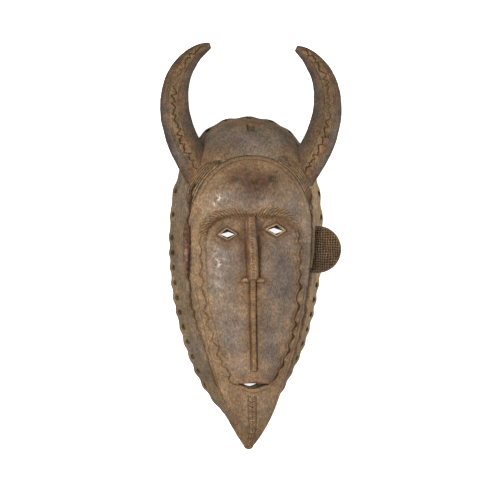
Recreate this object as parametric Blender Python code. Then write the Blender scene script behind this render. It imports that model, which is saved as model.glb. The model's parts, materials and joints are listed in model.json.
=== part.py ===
"""Horned face mask carved from one block of wood.

The mask lies on the rim of its open back, with its face up (+Z), its horns towards +Y and its chin
towards -Y. It is symmetrical about X = 0 apart from the ear, which is left on the +X side only. While
it is modelled, Y = 0 is the level of the middle of the nose and Z = 0 is the plane of the rim. All
lengths are in metres.
"""
import math

import bmesh
import bpy
import numpy as np
from mathutils import Vector
from mathutils.bvhtree import BVHTree

# Hood: the plain outer wall behind the face
HOOD_WIDTH = 0.2000
HOOD_TOP = 0.1742
HOOD_BOTTOM = -0.2290
HOOD_MIDDLE = 0.0170
HOOD_TAPER = 2.0
HOOD_BLUNTNESS = 0.64
HOOD_SQUARENESS = 2.3
WALL = 0.0120
RIM_WALL = 0.0095
FOOT_INSET = 1.4

# Holes and scallops along the rim
HOLE_DIAMETER = 0.0058
HOLE_HEIGHT = 0.0120
HOLE_SIDES = 5
HOLE_REACH = 2.2
HOLE_FREE_CHIN = 0.0120
SCALLOP_DEPTH = 0.0016
RIM_FLARE = 0.0025

# Face: a long pointed oval that stands on the hood
FACE_WIDTH = 0.1606
FACE_TOP = 0.1220
FACE_BOTTOM = -0.2583
FACE_MIDDLE = 0.0130
FACE_TAPER = 1.55
FACE_BLUNTNESS = 0.72
FACE_SQUARENESS = 2.2
CHIN_LEAN = 0.0045
SPINE_TOP = 0.0760
SPINE_BOTTOM = -0.1870
CHIN_SOLID = 0.0450

# Heights above the rim plane, from the crown to the chin, and how full the face is across
EDGE_AT_CROWN = 0.0780
EDGE_AT_CHEEK = 0.0655
EDGE_AT_CHIN = 0.0460
FOREHEAD_HEIGHT = 0.1070
CHEEK_HEIGHT = 0.0950
MOUTH_HEIGHT = 0.0850
CHIN_HEIGHT = 0.0780
SWELL_REACH = 2.2
SWELL_FULLNESS = 0.8

# Border band round the face, and the zigzag band inside it on both cheeks
GROOVE_WIDTH = 0.0034
GROOVE_DEPTH = 0.0030
GROOVE_END = -0.2050
BORDER_WIDTH = 0.0100
BORDER_RISE = 0.0040
ZIGZAG_WIDTH = 0.0090
ZIGZAG_DEPTH = 0.0020
ZIGZAG_TOP = 0.0450
ZIGZAG_BOTTOM = -0.1700
ZIGZAG_FADE = 0.0120

# Brow arch and the hollow of the eyes below it
BROW_HALF_SPAN = 0.0650
BROW_CENTRE = 0.0050
BROW_RISE = 0.0500
BROW_WIDTH = 0.0080
BROW_HEIGHT = 0.0030
BROW_NOTCH = 0.60
EYE_HOLLOW = 0.0070
HOLLOW_EDGE = (0.86, 1.02)
HOLLOW_FADE = (-0.0400, 0.0350)

# Eyes: diamond frames round diamond openings
EYE_SPACING = 0.0610
LEFT_EYE_LEVEL = 0.0215
RIGHT_EYE_LEVEL = 0.0260
EYE_LENGTH = 0.0260
EYE_HEIGHT = 0.0175
EYE_OPENING_LENGTH = 0.0180
EYE_OPENING_HEIGHT = 0.0084
EYE_FRAME_RISE = 0.0022
EYE_FRAME_TAPER = 0.85
EYE_OPENING_FLARE = 1.12

# Nose ridge, nostrils and the thin ridge down to the mouth
NOSE_TOP = 0.0470
NOSE_BOTTOM = -0.0400
NOSE_WIDTH = 0.0134
NOSE_RISE = 0.0120
NOSE_PITCH = 0.0072
NOSE_NOTCH = 0.88
NOSTRIL_DIAMETER = 0.0105
NOSTRIL_SPACING = 0.0225
RIDGE_BOTTOM = -0.1550
RIDGE_WIDTH = 0.0068
RIDGE_RISE = 0.0055
RIDGE_PITCH = 0.0060
RIDGE_NOTCH = 0.80

# Mouth and the band down the chin
MOUTH_X = 0.0040
MOUTH_LEVEL = -0.1725
MOUTH_WIDTH = 0.0400
MOUTH_SLIT_WIDTH = 0.0360
MOUTH_SLIT_HEIGHT = 0.0085
MOUTH_THROAT = 0.56
LIP_HEIGHT = 0.0055
LIP_RISE = 0.0030
LIP_TAPER = 0.82
CHIN_BAND_WIDTH = 0.0100
CHIN_BAND_RISE = 0.0022
CHIN_BAND_PITCH = 0.0120
CHIN_BAND_NOTCH = 0.55

# Horns: the heading starts outwards and turns in towards the tip
HORN_BASE_X = 0.0625
HORN_BASE_Y = 0.0948
HORN_BASE_Z = 0.0540
HORN_SWEEP_BACK = 0.0080
LEFT_HORN_LENGTH = 0.1975
RIGHT_HORN_LENGTH = 0.1945
HORN_LEAN = math.radians(32.3)
LEFT_HORN_TURN = math.radians(102.0)
RIGHT_HORN_TURN = math.radians(99.0)
HORN_CURL = 1.835
HORN_WIDTH = 0.0420
HORN_DEPTH = 0.0330
HORN_TIP = 0.0076
HORN_TAPER = 2.6
HORN_BLUNTNESS = 0.75
HORN_SQUARENESS = 2.6
HORN_ZIGZAG_PITCH = 0.0120
HORN_ZIGZAG_REACH = 0.0035
HORN_ZIGZAG_DEPTH = 0.0018
HORN_SIDES = 12

# The ear that is left, and the raw strip where the other one broke off
EAR_RADIUS = 0.0305
EAR_X = 0.0897
EAR_Y = 0.0030
EAR_Z = 0.0530
EAR_THICKNESS = 0.0090
EAR_GRID_PITCH = 0.0066
EAR_GRID_DEPTH = 0.0012
EAR_RING_POINTS = 32
SCAR_LENGTH = 0.0640
SCAR_RISE = 0.0020

# Shallow recess near the top of the hood
RECESS_WIDTH = 0.0120
RECESS_LENGTH = 0.0100
RECESS_DEPTH = 0.0030
RECESS_Y = 0.1600

# Fineness of the faceted surfaces
RING_POINTS = 80
FACE_RINGS = 6
HOOD_RINGS = 5
HOLLOW_POINTS = 40
HOLLOW_RINGS = 4
OVERLAP = 0.0040


def smooth(value, low, high):
    """Rises smoothly from 0 at low to 1 at high."""
    share = np.clip((np.asarray(value, dtype=float) - low) / (high - low), 0.0, 1.0)
    return share * share * (3.0 - 2.0 * share)


def through(places, heights, value):
    """A smooth curve through a few heights: each span eases from one place to the next."""
    result = np.full_like(np.asarray(value, dtype=float), heights[0])
    for low, high, start, end in zip(places, places[1:], heights, heights[1:]):
        result = result + (end - start) * smooth(value, low, high)
    return result


def pointed_oval(angle, width, middle, top, bottom, squareness, taper, bluntness):
    """An oval, rounded above its middle and tapered below; angle 0 is its top, pi its foot."""
    rise = np.cos(angle)
    side = np.sign(np.sin(angle))
    upper = np.clip(1.0 - np.abs(rise) ** squareness, 0.0, None) ** (1.0 / squareness)
    lower = np.clip(1.0 - np.abs(rise) ** taper, 0.0, None) ** bluntness
    x = side * width / 2.0 * np.where(rise > 0.0, upper, lower)
    y = middle + np.where(rise > 0.0, top - middle, middle - bottom) * rise
    return np.stack([x, y], axis=-1)


def face_outline(angle, inset=0.0, foot=0.0):
    """The outer edge of the face, or a curve inside it by inset, with its foot raised."""
    return pointed_oval(angle, FACE_WIDTH - 2.0 * inset, FACE_MIDDLE, FACE_TOP - inset,
                        FACE_BOTTOM + foot, FACE_SQUARENESS, FACE_TAPER, FACE_BLUNTNESS)


def rim_outline(angle, inset=0.0):
    """The outer edge of the hood's rim, or a curve inside it by inset."""
    return pointed_oval(angle, HOOD_WIDTH - 2.0 * inset, HOOD_MIDDLE, HOOD_TOP - inset,
                        HOOD_BOTTOM + FOOT_INSET * inset, HOOD_SQUARENESS, HOOD_TAPER, HOOD_BLUNTNESS)


def spine(angle):
    """The line down the middle of the face that the rings of the surface close in on."""
    rise = np.cos(angle)
    reach = np.where(rise > 0.0, SPINE_TOP - FACE_MIDDLE, FACE_MIDDLE - SPINE_BOTTOM)
    return np.stack([np.zeros_like(rise), FACE_MIDDLE + reach * rise], axis=-1)


def even_angles(count):
    """Angles round the face whose points on its outline lie at even distances."""
    dense = np.linspace(0.0, math.pi, 4001)
    steps = np.linalg.norm(np.diff(face_outline(dense), axis=0), axis=1)
    along = np.concatenate([[0.0], np.cumsum(steps)])
    half = np.interp(np.linspace(0.0, along[-1], count // 2 + 1), along, dense)
    return np.concatenate([half, 2.0 * math.pi - half[-2:0:-1]])


def edge_height(y):
    """Height of the hood where it meets the face."""
    places = (FACE_BOTTOM, FACE_MIDDLE - 0.05, FACE_TOP)
    return through(places, (EDGE_AT_CHIN, EDGE_AT_CHEEK, EDGE_AT_CROWN), y)


def crest_height(y):
    """Height of the face along its middle, without the nose."""
    places = (SPINE_BOTTOM, MOUTH_LEVEL + 0.02, NOSE_BOTTOM, NOSE_TOP, SPINE_TOP)
    heights = (CHIN_HEIGHT, MOUTH_HEIGHT + 0.004, CHEEK_HEIGHT, CHEEK_HEIGHT + 0.006, FOREHEAD_HEIGHT)
    return through(places, heights, y)


def brow_reach(x, y):
    """One on the brow arch, less than one inside it and more outside."""
    return (np.abs(x / BROW_HALF_SPAN) ** 3 + np.abs((y - BROW_CENTRE) / BROW_RISE) ** 3) ** (1.0 / 3.0)


def eye_hollow(x, y):
    """Depth of the hollow below the brow, deepest under the arch and gone on the cheeks."""
    under_brow = 1.0 - smooth(brow_reach(x, y), *HOLLOW_EDGE)
    above_cheek = smooth(y, *HOLLOW_FADE)
    return EYE_HOLLOW * under_brow * above_cheek


def face_height(x, y, share, edge):
    """Height of the face between its edge (share 1) and its middle line (share 0)."""
    swell = np.clip(1.0 - share ** SWELL_REACH, 0.0, None) ** SWELL_FULLNESS
    return edge + (crest_height(y) - edge) * swell - eye_hollow(x, y)


def face_ring(angle, share, lift=0.0):
    """A ring of points on the face, at a share of the way from the spine to its edge."""
    outline, core = face_outline(angle), spine(angle)
    flat = core + (outline - core) * np.asarray(share)[..., None]
    edge = edge_height(outline[:, 1]) + BORDER_RISE
    height = face_height(flat[:, 0], flat[:, 1], share, edge)
    return np.column_stack([flat, height + lift])


def share_at(angle, inset):
    """The share at which a ring runs a set distance inside the edge of the face."""
    reach = np.linalg.norm(face_outline(angle) - spine(angle), axis=1)
    return 1.0 - inset / reach


def zigzag_rings(angle):
    """The zigzag band on the cheeks: two plain lines with a sawtooth groove between them."""
    y = face_outline(angle)[:, 1]
    carved = smooth(y, ZIGZAG_BOTTOM - ZIGZAG_FADE, ZIGZAG_BOTTOM)
    carved *= 1.0 - smooth(y, ZIGZAG_TOP, ZIGZAG_TOP + ZIGZAG_FADE)
    start = GROOVE_WIDTH + BORDER_WIDTH
    swing = np.where(np.arange(len(angle)) % 2 == 0, 0.25, 0.75)
    return [face_ring(angle, share_at(angle, start)),
            face_ring(angle, share_at(angle, start + ZIGZAG_WIDTH * swing), -ZIGZAG_DEPTH * carved),
            face_ring(angle, share_at(angle, start + ZIGZAG_WIDTH))]


def border_rings(angle):
    """The saw-edged groove between hood and face, and the raised band inside it."""
    tooth = np.where(np.arange(len(angle)) % 2 == 0, 0.3, 0.7)
    carved = smooth(face_outline(angle)[:, 1], GROOVE_END - 0.02, GROOVE_END)
    bottom = face_ring(angle, share_at(angle, GROOVE_WIDTH * tooth), -(BORDER_RISE + GROOVE_DEPTH) * carved)
    crest = face_ring(angle, share_at(angle, GROOVE_WIDTH + 0.0012))
    return [bottom, crest]


def hood_ring(angle, share, inset=0.0, lower_by=0.0, foot=0.0):
    """A ring on the hood, from its rim (share 0) to the groove (share 1)."""
    low = rim_outline(angle, inset)
    high = face_outline(angle, inset, foot)
    crown = smooth(np.cos(angle), -0.1, 0.9)
    roundness = 0.25 + 0.75 * crown
    inwards = share + (1.0 - math.cos(share * math.pi / 2.0) - share) * roundness
    upwards = share + (math.sin(share * math.pi / 2.0) - share) * roundness
    top = edge_height(face_outline(angle)[:, 1]) - lower_by
    flat = low + (high - low) * inwards[:, None]
    return np.column_stack([flat, top * upwards])


def pushed_out(ring, angle, distance):
    """The ring moved outwards, square to the rim's outline, by a distance for each point."""
    step = 1e-4
    along = rim_outline(angle + step) - rim_outline(angle - step)
    along[np.isclose(np.cos(angle), -1.0)] = (-1.0, 0.0)
    outwards = np.column_stack([-along[:, 1], along[:, 0]])
    outwards /= np.linalg.norm(outwards, axis=1)[:, None]
    moved = ring.copy()
    moved[:, :2] += outwards * np.reshape(distance, (-1, 1))
    return moved


def outer_rings(angle):
    """Rings from the rim, over the hood, the groove and the border, to the spine of the face."""
    lobe = np.where(np.arange(len(angle)) % 2 == 0, 0.5, -0.5) * SCALLOP_DEPTH
    rings = [pushed_out(hood_ring(angle, 0.0), angle, lobe + RIM_FLARE * 0.6)]
    rings.append(pushed_out(hood_ring(angle, 0.06), angle, lobe + RIM_FLARE))
    for step in range(1, HOOD_RINGS):
        rings.append(hood_ring(angle, 0.12 + 0.88 * step / HOOD_RINGS))
    rings.append(hood_ring(angle, 1.0))
    rings += border_rings(angle) + zigzag_rings(angle)
    inner_share = share_at(angle, GROOVE_WIDTH + BORDER_WIDTH + ZIGZAG_WIDTH)
    for step in range(1, FACE_RINGS + 1):
        rings.append(face_ring(angle, inner_share * (1.0 - step / (FACE_RINGS + 0.6))))
    return rings


def hollow_rings(angle):
    """Rings of the hollow, from below the rim to its roof, one wall's thickness inside the surface."""
    rim = hood_ring(angle, 0.0, RIM_WALL)
    rings = [rim - np.array([0.0, 0.0, OVERLAP]), rim]
    for share in (0.4, 0.8):
        rings.append(hood_ring(angle, share, WALL, WALL, CHIN_SOLID))
    outline, core = face_outline(angle, WALL, CHIN_SOLID), spine(angle)
    shorter = (FACE_MIDDLE - FACE_BOTTOM - CHIN_SOLID) / (FACE_MIDDLE - FACE_BOTTOM)
    core[:, 1] = FACE_MIDDLE + (core[:, 1] - FACE_MIDDLE) * np.where(core[:, 1] < FACE_MIDDLE, shorter, 1.0)
    edge = edge_height(face_outline(angle)[:, 1])
    for step in range(HOLLOW_RINGS):
        share = np.full(len(angle), 0.98 * (1.0 - step / (HOLLOW_RINGS - 0.5)))
        flat = core + (outline - core) * share[:, None]
        height = face_height(flat[:, 0], flat[:, 1], share, edge) - WALL
        rings.append(np.column_stack([flat, height]))
    return rings


def ladder(start, count):
    """Faces that close a ring across the middle, rung by rung."""
    half = count // 2
    faces = [(start, start + 1, start + count - 1), (start + half - 1, start + half, start + half + 1)]
    for i in range(1, half - 1):
        faces.append((start + i, start + i + 1, start + count - i - 1, start + count - i))
    return faces


def ring_body(rings, flat_top=True):
    """A closed mesh through rings of points, flat below; its top is one flat face or a ladder."""
    count = len(rings[0])
    points = leaning([tuple(point) for ring in rings for point in ring])
    faces = []
    for row in range(len(rings) - 1):
        for i in range(count):
            j = (i + 1) % count
            faces.append((row * count + i, row * count + j, (row + 1) * count + j, (row + 1) * count + i))
    last = (len(rings) - 1) * count
    faces.append(tuple(range(count)))
    faces += [tuple(range(last, last + count))] if flat_top else ladder(last, count)
    return points, faces


def leaning(points):
    """The points with the chin drawn a little to one side, as the carver left it."""
    return [(x + CHIN_LEAN * float(smooth(-y, -MOUTH_LEVEL, -FACE_BOTTOM)), y, z) for x, y, z in points]


def make_object(name, points, faces, helper=True):
    """An object from points and faces, with its faces turned outwards; helpers are not rendered."""
    mesh = bpy.data.meshes.new(name)
    work = bmesh.new()
    corners = [work.verts.new(point) for point in points]
    for face in faces:
        work.faces.new([corners[i] for i in face])
    bmesh.ops.recalc_face_normals(work, faces=work.faces)
    work.to_mesh(mesh)
    work.free()
    made = bpy.data.objects.new(name, mesh)
    bpy.context.scene.collection.objects.link(made)
    if helper:
        made.hide_render = True
        made.display_type = 'WIRE'
    return made


def ground_finder(points, faces):
    """A function that gives the height of the carved surface at a place seen from above."""
    tree = BVHTree.FromPolygons(points, faces)

    def ground(x, y):
        hit = tree.ray_cast(Vector((x, y, 1.0)), Vector((0.0, 0.0, -1.0)))
        return hit[0].z
    return ground


def strip(name, ground, path, widths, heights):
    """A bar along a path on the face, whose crest height can change from station to station."""
    rings = []
    for (x, y), width, height in zip(path, widths, heights):
        i = len(rings)
        before, after = path[max(i - 1, 0)], path[min(i + 1, len(path) - 1)]
        along = np.array([after[0] - before[0], after[1] - before[1]])
        across = np.array([along[1], -along[0]]) / np.linalg.norm(along)
        profile = ((-0.5, -OVERLAP), (-0.5, 0.5 * height), (-0.2, height),
                   (0.2, height), (0.5, 0.5 * height), (0.5, -OVERLAP))
        level = ground(x, y)
        side = across * width
        rings.append([(x + side[0] * a, y + side[1] * a, level + b) for a, b in profile])
    points, faces = ring_body(rings)
    return make_object(name, points, faces)


def notched(start, end, pitch):
    """Stations along a straight ridge, two for each notch."""
    count = 2 * max(1, round(abs(end - start) / pitch)) + 1
    return np.linspace(start, end, count), np.arange(count) % 2


def nose(ground):
    """The long nose ridge with a row of notches along its crest."""
    y, notch = notched(NOSE_TOP, NOSE_BOTTOM, NOSE_PITCH)
    grow = 0.55 + 0.45 * smooth(-y, -NOSE_TOP, -NOSE_TOP + 0.03)
    return strip("nose", ground, [(0.0, v) for v in y], np.full(len(y), NOSE_WIDTH),
                 NOSE_RISE * grow * np.where(notch == 1, NOSE_NOTCH, 1.0))


def lower_ridge(ground):
    """The thin notched ridge from the nose towards the mouth."""
    y, notch = notched(NOSE_BOTTOM + 0.001, RIDGE_BOTTOM, RIDGE_PITCH)
    return strip("ridge", ground, [(0.0, v) for v in y], np.full(len(y), RIDGE_WIDTH),
                 RIDGE_RISE * np.where(notch == 1, RIDGE_NOTCH, 1.0))


def chin_band(ground):
    """The raised band down the chin, cut across in short steps."""
    y, notch = notched(MOUTH_LEVEL - 0.017, FACE_BOTTOM + 0.010, CHIN_BAND_PITCH)
    width = CHIN_BAND_WIDTH * (1.0 - 0.5 * smooth(-y, -FACE_BOTTOM - 0.045, -FACE_BOTTOM - 0.01))
    return strip("chin_band", ground, [(0.0, v) for v in y], width,
                 CHIN_BAND_RISE * np.where(notch == 1, CHIN_BAND_NOTCH, 1.0))


def brow(ground, side):
    """One hatched brow, from the root of the nose out and down to the top of the cheek band."""
    angle = np.linspace(math.radians(86.0), math.radians(12.0), 19)
    power = 2.0 / 3.0
    x = BROW_HALF_SPAN * np.cos(angle) ** power
    y = BROW_CENTRE + BROW_RISE * np.sin(angle) ** power
    path = [(side * a, b) for a, b in zip(x, y)]
    notch = np.arange(len(path)) % 2
    return strip("brow", ground, path, np.full(len(path), BROW_WIDTH),
                 BROW_HEIGHT * np.where(notch == 1, BROW_NOTCH, 1.0))


def prism(name, corners, low, high, shrink=1.0):
    """An upright prism on a flat outline, wider or narrower at its top by shrink."""
    centre = np.mean(corners, axis=0)
    upper = centre + (np.asarray(corners) - centre) * shrink
    rings = [[(x, y, low) for x, y in corners], [(x, y, high) for x, y in upper]]
    points, faces = ring_body(rings)
    return make_object(name, points, faces)


def diamond(x, y, length, height):
    """Corners of a diamond, with a middle point on each side bowed slightly outwards."""
    turns = np.arange(8) * math.pi / 4.0
    reach = np.where(np.arange(8) % 2 == 0, 1.0, 0.76)
    return [(x + length / 2.0 * r * math.cos(t), y + height / 2.0 * r * math.sin(t))
            for t, r in zip(turns, reach)]


def eye(ground, side):
    """The raised diamond frame of one eye, and the cutter of its opening."""
    x, y = side * EYE_SPACING / 2.0, (LEFT_EYE_LEVEL if side < 0 else RIGHT_EYE_LEVEL)
    top = ground(x, y) + EYE_FRAME_RISE
    frame = prism("eye_frame", diamond(x, y, EYE_LENGTH, EYE_HEIGHT),
                  top - EYE_FRAME_RISE - OVERLAP, top, EYE_FRAME_TAPER)
    opening = prism("eye_opening", diamond(x, y, EYE_OPENING_LENGTH, EYE_OPENING_HEIGHT),
                    top - 3.0 * WALL, top + OVERLAP, EYE_OPENING_FLARE)
    return frame, opening


def crescent(width, sag_low, sag_high):
    """Corners of a crescent mouth between two arcs that share their ends."""
    x = np.linspace(-0.5, 0.5, 8)
    bow = 1.0 - (2.0 * x) ** 2
    lower = [(MOUTH_X + width * a, MOUTH_LEVEL - sag_low * b) for a, b in zip(x, bow)]
    inner = slice(-2, 0, -1)
    upper = [(MOUTH_X + width * a, MOUTH_LEVEL + sag_high * b) for a, b in zip(x[inner], bow[inner])]
    return lower + upper


def mouth(ground):
    """Both lips, and the cutter of the slit between them, which narrows towards the hollow."""
    level = ground(MOUTH_X, MOUTH_LEVEL)
    lip_reach = MOUTH_SLIT_HEIGHT / 2.0 + LIP_HEIGHT
    lips = prism("lips", crescent(MOUTH_WIDTH, lip_reach, lip_reach),
                 level - OVERLAP, level + LIP_RISE, LIP_TAPER)
    slit = np.array(crescent(MOUTH_SLIT_WIDTH, MOUTH_SLIT_HEIGHT * 0.7, MOUTH_SLIT_HEIGHT * 0.3))
    throat = slit.mean(axis=0) + (slit - slit.mean(axis=0)) * MOUTH_THROAT
    opening = prism("mouth_opening", throat, level - 2.5 * WALL, level + LIP_RISE + OVERLAP,
                    1.0 / MOUTH_THROAT)
    return lips, opening


def nostril(ground, side):
    """A small knob at the side of the nose's foot."""
    x, y = side * NOSTRIL_SPACING / 2.0 * 0.75, NOSE_BOTTOM + NOSTRIL_DIAMETER * 0.2
    work = bmesh.new()
    bmesh.ops.create_icosphere(work, subdivisions=2, radius=NOSTRIL_DIAMETER / 2.0)
    level = ground(x, y) + 0.001
    points = [(x + v.co.x, y + v.co.y * 0.8, level + v.co.z * 0.9) for v in work.verts]
    faces = [tuple(v.index for v in face.verts) for face in work.faces]
    work.free()
    return make_object("nostril", points, faces)


def horn_path(count, side):
    """Centre points and headings along one horn, from its base to its tip."""
    length = LEFT_HORN_LENGTH if side < 0 else RIGHT_HORN_LENGTH
    turn = LEFT_HORN_TURN if side < 0 else RIGHT_HORN_TURN
    fine = 400
    share = (np.arange(fine) + 0.5) / fine
    heading = HORN_LEAN - turn * share ** HORN_CURL
    step = length / fine
    x = HORN_BASE_X + np.concatenate([[0.0], np.cumsum(np.sin(heading) * step)])
    y = HORN_BASE_Y + np.concatenate([[0.0], np.cumsum(np.cos(heading) * step)])
    at = np.linspace(0.0, 1.0, count)
    dense = np.linspace(0.0, 1.0, fine + 1)
    z = HORN_BASE_Z - HORN_SWEEP_BACK * smooth(at, 0.0, 1.0)
    centre = np.column_stack([side * np.interp(at, dense, x), np.interp(at, dense, y), z])
    turned = HORN_LEAN - turn * at ** HORN_CURL
    outwards = np.column_stack([side * np.cos(turned), -np.sin(turned), np.zeros(count)])
    return at, centre, outwards


def horn(side):
    """One horn: a tapering curved bar, flattened in front, with a zigzag groove up its front."""
    count = 2 * round(LEFT_HORN_LENGTH / HORN_ZIGZAG_PITCH) + 1
    at, centre, outwards = horn_path(count, side)
    taper = np.clip(1.0 - at ** HORN_TAPER, 0.0, None) ** HORN_BLUNTNESS
    rings = []
    for i in range(count):
        half_width = (HORN_TIP + (HORN_WIDTH - HORN_TIP) * taper[i]) / 2.0
        half_depth = (HORN_TIP + (HORN_DEPTH - HORN_TIP) * taper[i]) / 2.0
        carve = smooth(at[i], 0.08, 0.14) * (1.0 - smooth(at[i], 0.9, 0.97))
        ring = []
        for k in range(HORN_SIDES):
            turn = math.pi / 2.0 + 2.0 * math.pi * k / HORN_SIDES
            a, b = math.cos(turn), math.sin(turn)
            fill = (abs(a) ** HORN_SQUARENESS + abs(b) ** HORN_SQUARENESS) ** (-1.0 / HORN_SQUARENESS)
            across, deep = half_width * a * fill, half_depth * b * fill
            if k == 0:
                across += carve * HORN_ZIGZAG_REACH * (1 if i % 2 else -1) * min(1.0, half_width / 0.012)
                deep -= carve * HORN_ZIGZAG_DEPTH
            ring.append(tuple(centre[i] + outwards[i] * across + np.array([0.0, 0.0, deep])))
        rings.append(ring)
    points, faces = ring_body(rings)
    return make_object("horn", points, faces)


def ear():
    """The disc ear: its front is a fine square grid of low pyramids inside a round edge."""
    cells = math.ceil(EAR_RADIUS / EAR_GRID_PITCH)
    reach = cells * EAR_GRID_PITCH
    lines = np.linspace(-reach, reach, 4 * cells + 1)
    low, top = EAR_Z - EAR_THICKNESS / 2.0, EAR_Z + EAR_THICKNESS / 2.0
    count = len(lines)
    points = []
    for i, dy in enumerate(lines):
        for j, dx in enumerate(lines):
            raised = i % 2 == 1 and j % 2 == 1
            points.append((EAR_X + dx, EAR_Y + dy, top if raised else top - EAR_GRID_DEPTH))
    faces = []
    for i in range(0, count - 1, 2):
        for j in range(0, count - 1, 2):
            peak = (i + 1) * count + j + 1
            corners = [i * count + j, i * count + j + 2, (i + 2) * count + j + 2, (i + 2) * count + j]
            faces += [(corners[k], corners[(k + 1) % 4], peak) for k in range(4)]
    used = sorted({index for face in faces for index in face})
    number = {old: new for new, old in enumerate(used)}
    points = [points[index] for index in used]
    faces = [tuple(number[index] for index in face) for face in faces]
    border = [i * count for i in range(0, count, 2)]
    border += [(count - 1) * count + j for j in range(2, count, 2)]
    border += [i * count + count - 1 for i in range(count - 3, -1, -2)]
    border += [j for j in range(count - 3, 0, -2)]
    base = len(points)
    ring = [number[index] for index in border]
    points += [(points[index][0], points[index][1], low) for index in ring]
    for k, index in enumerate(ring):
        after = (k + 1) % len(ring)
        faces.append((index, ring[after], base + after, base + k))
    faces.append(tuple(base + k for k in range(len(ring))))
    slab = make_object("ear_slab", points, faces)
    turns = np.arange(EAR_RING_POINTS) * 2.0 * math.pi / EAR_RING_POINTS
    edge = [(EAR_X + EAR_RADIUS * math.cos(t), EAR_Y + EAR_RADIUS * math.sin(t)) for t in turns]
    disc = prism("ear", edge, low + 0.0004, top + 0.001)
    cut(disc, slab, 'INTERSECT')
    return disc


def cut(target, tool, operation):
    """A live Boolean on the target, with a tool that stays out of the finished model."""
    modifier = target.modifiers.new(tool.name, 'BOOLEAN')
    modifier.operation = operation
    modifier.solver = 'EXACT'
    modifier.object = tool


def scar():
    """The raw broken strip on the hood where the second ear stood."""
    count = 11
    rings = []
    for i, y in enumerate(np.linspace(-SCAR_LENGTH / 2.0, SCAR_LENGTH / 2.0, count) + EAR_Y):
        angle = np.linspace(0.0, math.pi, 2001)
        half = float(np.interp(-y, -face_outline(angle)[:, 1], face_outline(angle)[:, 0]))
        bump = SCAR_RISE * (1.0 if i % 2 else 0.55)
        end = 0.35 if i in (0, count - 1) else 1.0
        thick = EAR_THICKNESS / 2.0 * end
        edge = [(-half + 0.006, EAR_Z - thick), (-half - 0.0035 - bump * end, EAR_Z - thick),
                (-half - 0.001 - bump * end, EAR_Z + thick), (-half + 0.006, EAR_Z + thick)]
        rings.append([(x, y, z) for x, z in edge])
    points, faces = ring_body(rings)
    return make_object("scar", points, faces)


def rim_holes(angle):
    """Cutters of the holes through the hood, one at each lobe of the rim, none behind the chin."""
    cutters = []
    step = 1e-4
    for i in range(0, len(angle), 2):
        at = np.array([angle[i]])
        along = (rim_outline(at + step) - rim_outline(at - step))[0]
        place = rim_outline(at)[0]
        if place[1] < HOOD_BOTTOM + HOLE_FREE_CHIN:
            continue
        along = np.array([along[0], along[1], 0.0]) / np.linalg.norm(along)
        outwards = np.array([-along[1], along[0], 0.0])
        centre = np.array([place[0], place[1], HOLE_HEIGHT])
        turns = [2.0 * math.pi * k / HOLE_SIDES for k in range(HOLE_SIDES)]
        circle = [HOLE_DIAMETER / 2.0 * (along * math.cos(t) + np.array([0.0, 0.0, math.sin(t)]))
                  for t in turns]
        rings = [[tuple(centre + outwards * depth + spot) for spot in circle]
                 for depth in (-HOLE_REACH * RIM_WALL, RIM_WALL)]
        points, faces = ring_body(rings)
        cutters.append(make_object("rim_hole", points, faces))
    return cutters


def recess():
    """The cutter of the shallow square recess near the top of the hood."""
    angle = np.zeros(1)
    shares = np.linspace(0.0, 1.0, 101)
    line = np.array([hood_ring(angle, share)[0] for share in shares])
    height = float(np.interp(-RECESS_Y, -line[:, 1], line[:, 2]))
    half_x, half_y = RECESS_WIDTH / 2.0, RECESS_LENGTH / 2.0
    corners = [(-half_x, RECESS_Y - half_y), (half_x, RECESS_Y - half_y),
               (half_x, RECESS_Y + half_y), (-half_x, RECESS_Y + half_y)]
    return prism("recess", corners, height - RECESS_DEPTH, height + 0.03)


def collected(name, objects):
    """A collection that holds helper objects for one Boolean."""
    group = bpy.data.collections.new(name)
    for made in objects:
        group.objects.link(made)
    return group


def wood():
    """Worn brown wood with a dull polish."""
    material = bpy.data.materials.new("worn_wood")
    material.use_nodes = True
    shader = material.node_tree.nodes["Principled BSDF"]
    shader.inputs["Base Color"].default_value = (0.17, 0.125, 0.09, 1.0)
    shader.inputs["Roughness"].default_value = 0.5
    shader.inputs["Metallic"].default_value = 0.0
    return material


def mask():
    """The blank, all that stands on it, and the hollow and other cuts; gives back what adds material."""
    angle = even_angles(RING_POINTS)
    points, faces = ring_body(outer_rings(angle), flat_top=False)
    body = make_object("mask", points, faces, helper=False)
    body.data.materials.append(wood())
    ground = ground_finder(points, faces)
    hollow = make_object("hollow", *ring_body(hollow_rings(even_angles(HOLLOW_POINTS)), flat_top=False))
    frames, openings = zip(*(eye(ground, side) for side in (-1, 1)))
    lips, mouth_opening = mouth(ground)
    added = [nose(ground), lower_ridge(ground), chin_band(ground), lips, ear(), scar(), *frames]
    for side in (-1, 1):
        added += [horn(side), brow(ground, side), nostril(ground, side)]
    removed = [hollow, *openings, mouth_opening, recess(), *rim_holes(angle)]
    groups = ((collected("added", added), 'UNION'), (collected("removed", removed), 'DIFFERENCE'))
    for group, operation in groups:
        modifier = body.modifiers.new(operation.lower(), 'BOOLEAN')
        modifier.operation = operation
        modifier.operand_type = 'COLLECTION'
        modifier.solver = 'EXACT'
        modifier.collection = group
    return [body, *added]


def centre_of(objects):
    """Middle, seen from above, of all that the objects reach."""
    corners = np.array([vertex.co[:2] for made in objects for vertex in made.data.vertices])
    return (corners.min(axis=0) + corners.max(axis=0)) / 2.0


def main():
    for old in list(bpy.data.objects):
        bpy.data.objects.remove(old, do_unlink=True)
    solids = mask()
    place = bpy.data.objects.new("mask_place", None)
    bpy.context.scene.collection.objects.link(place)
    middle = centre_of(solids)
    place.location = (-middle[0], -middle[1], 0.0)
    for made in bpy.data.objects:
        if made is not place:
            made.parent = place


main()
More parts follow.
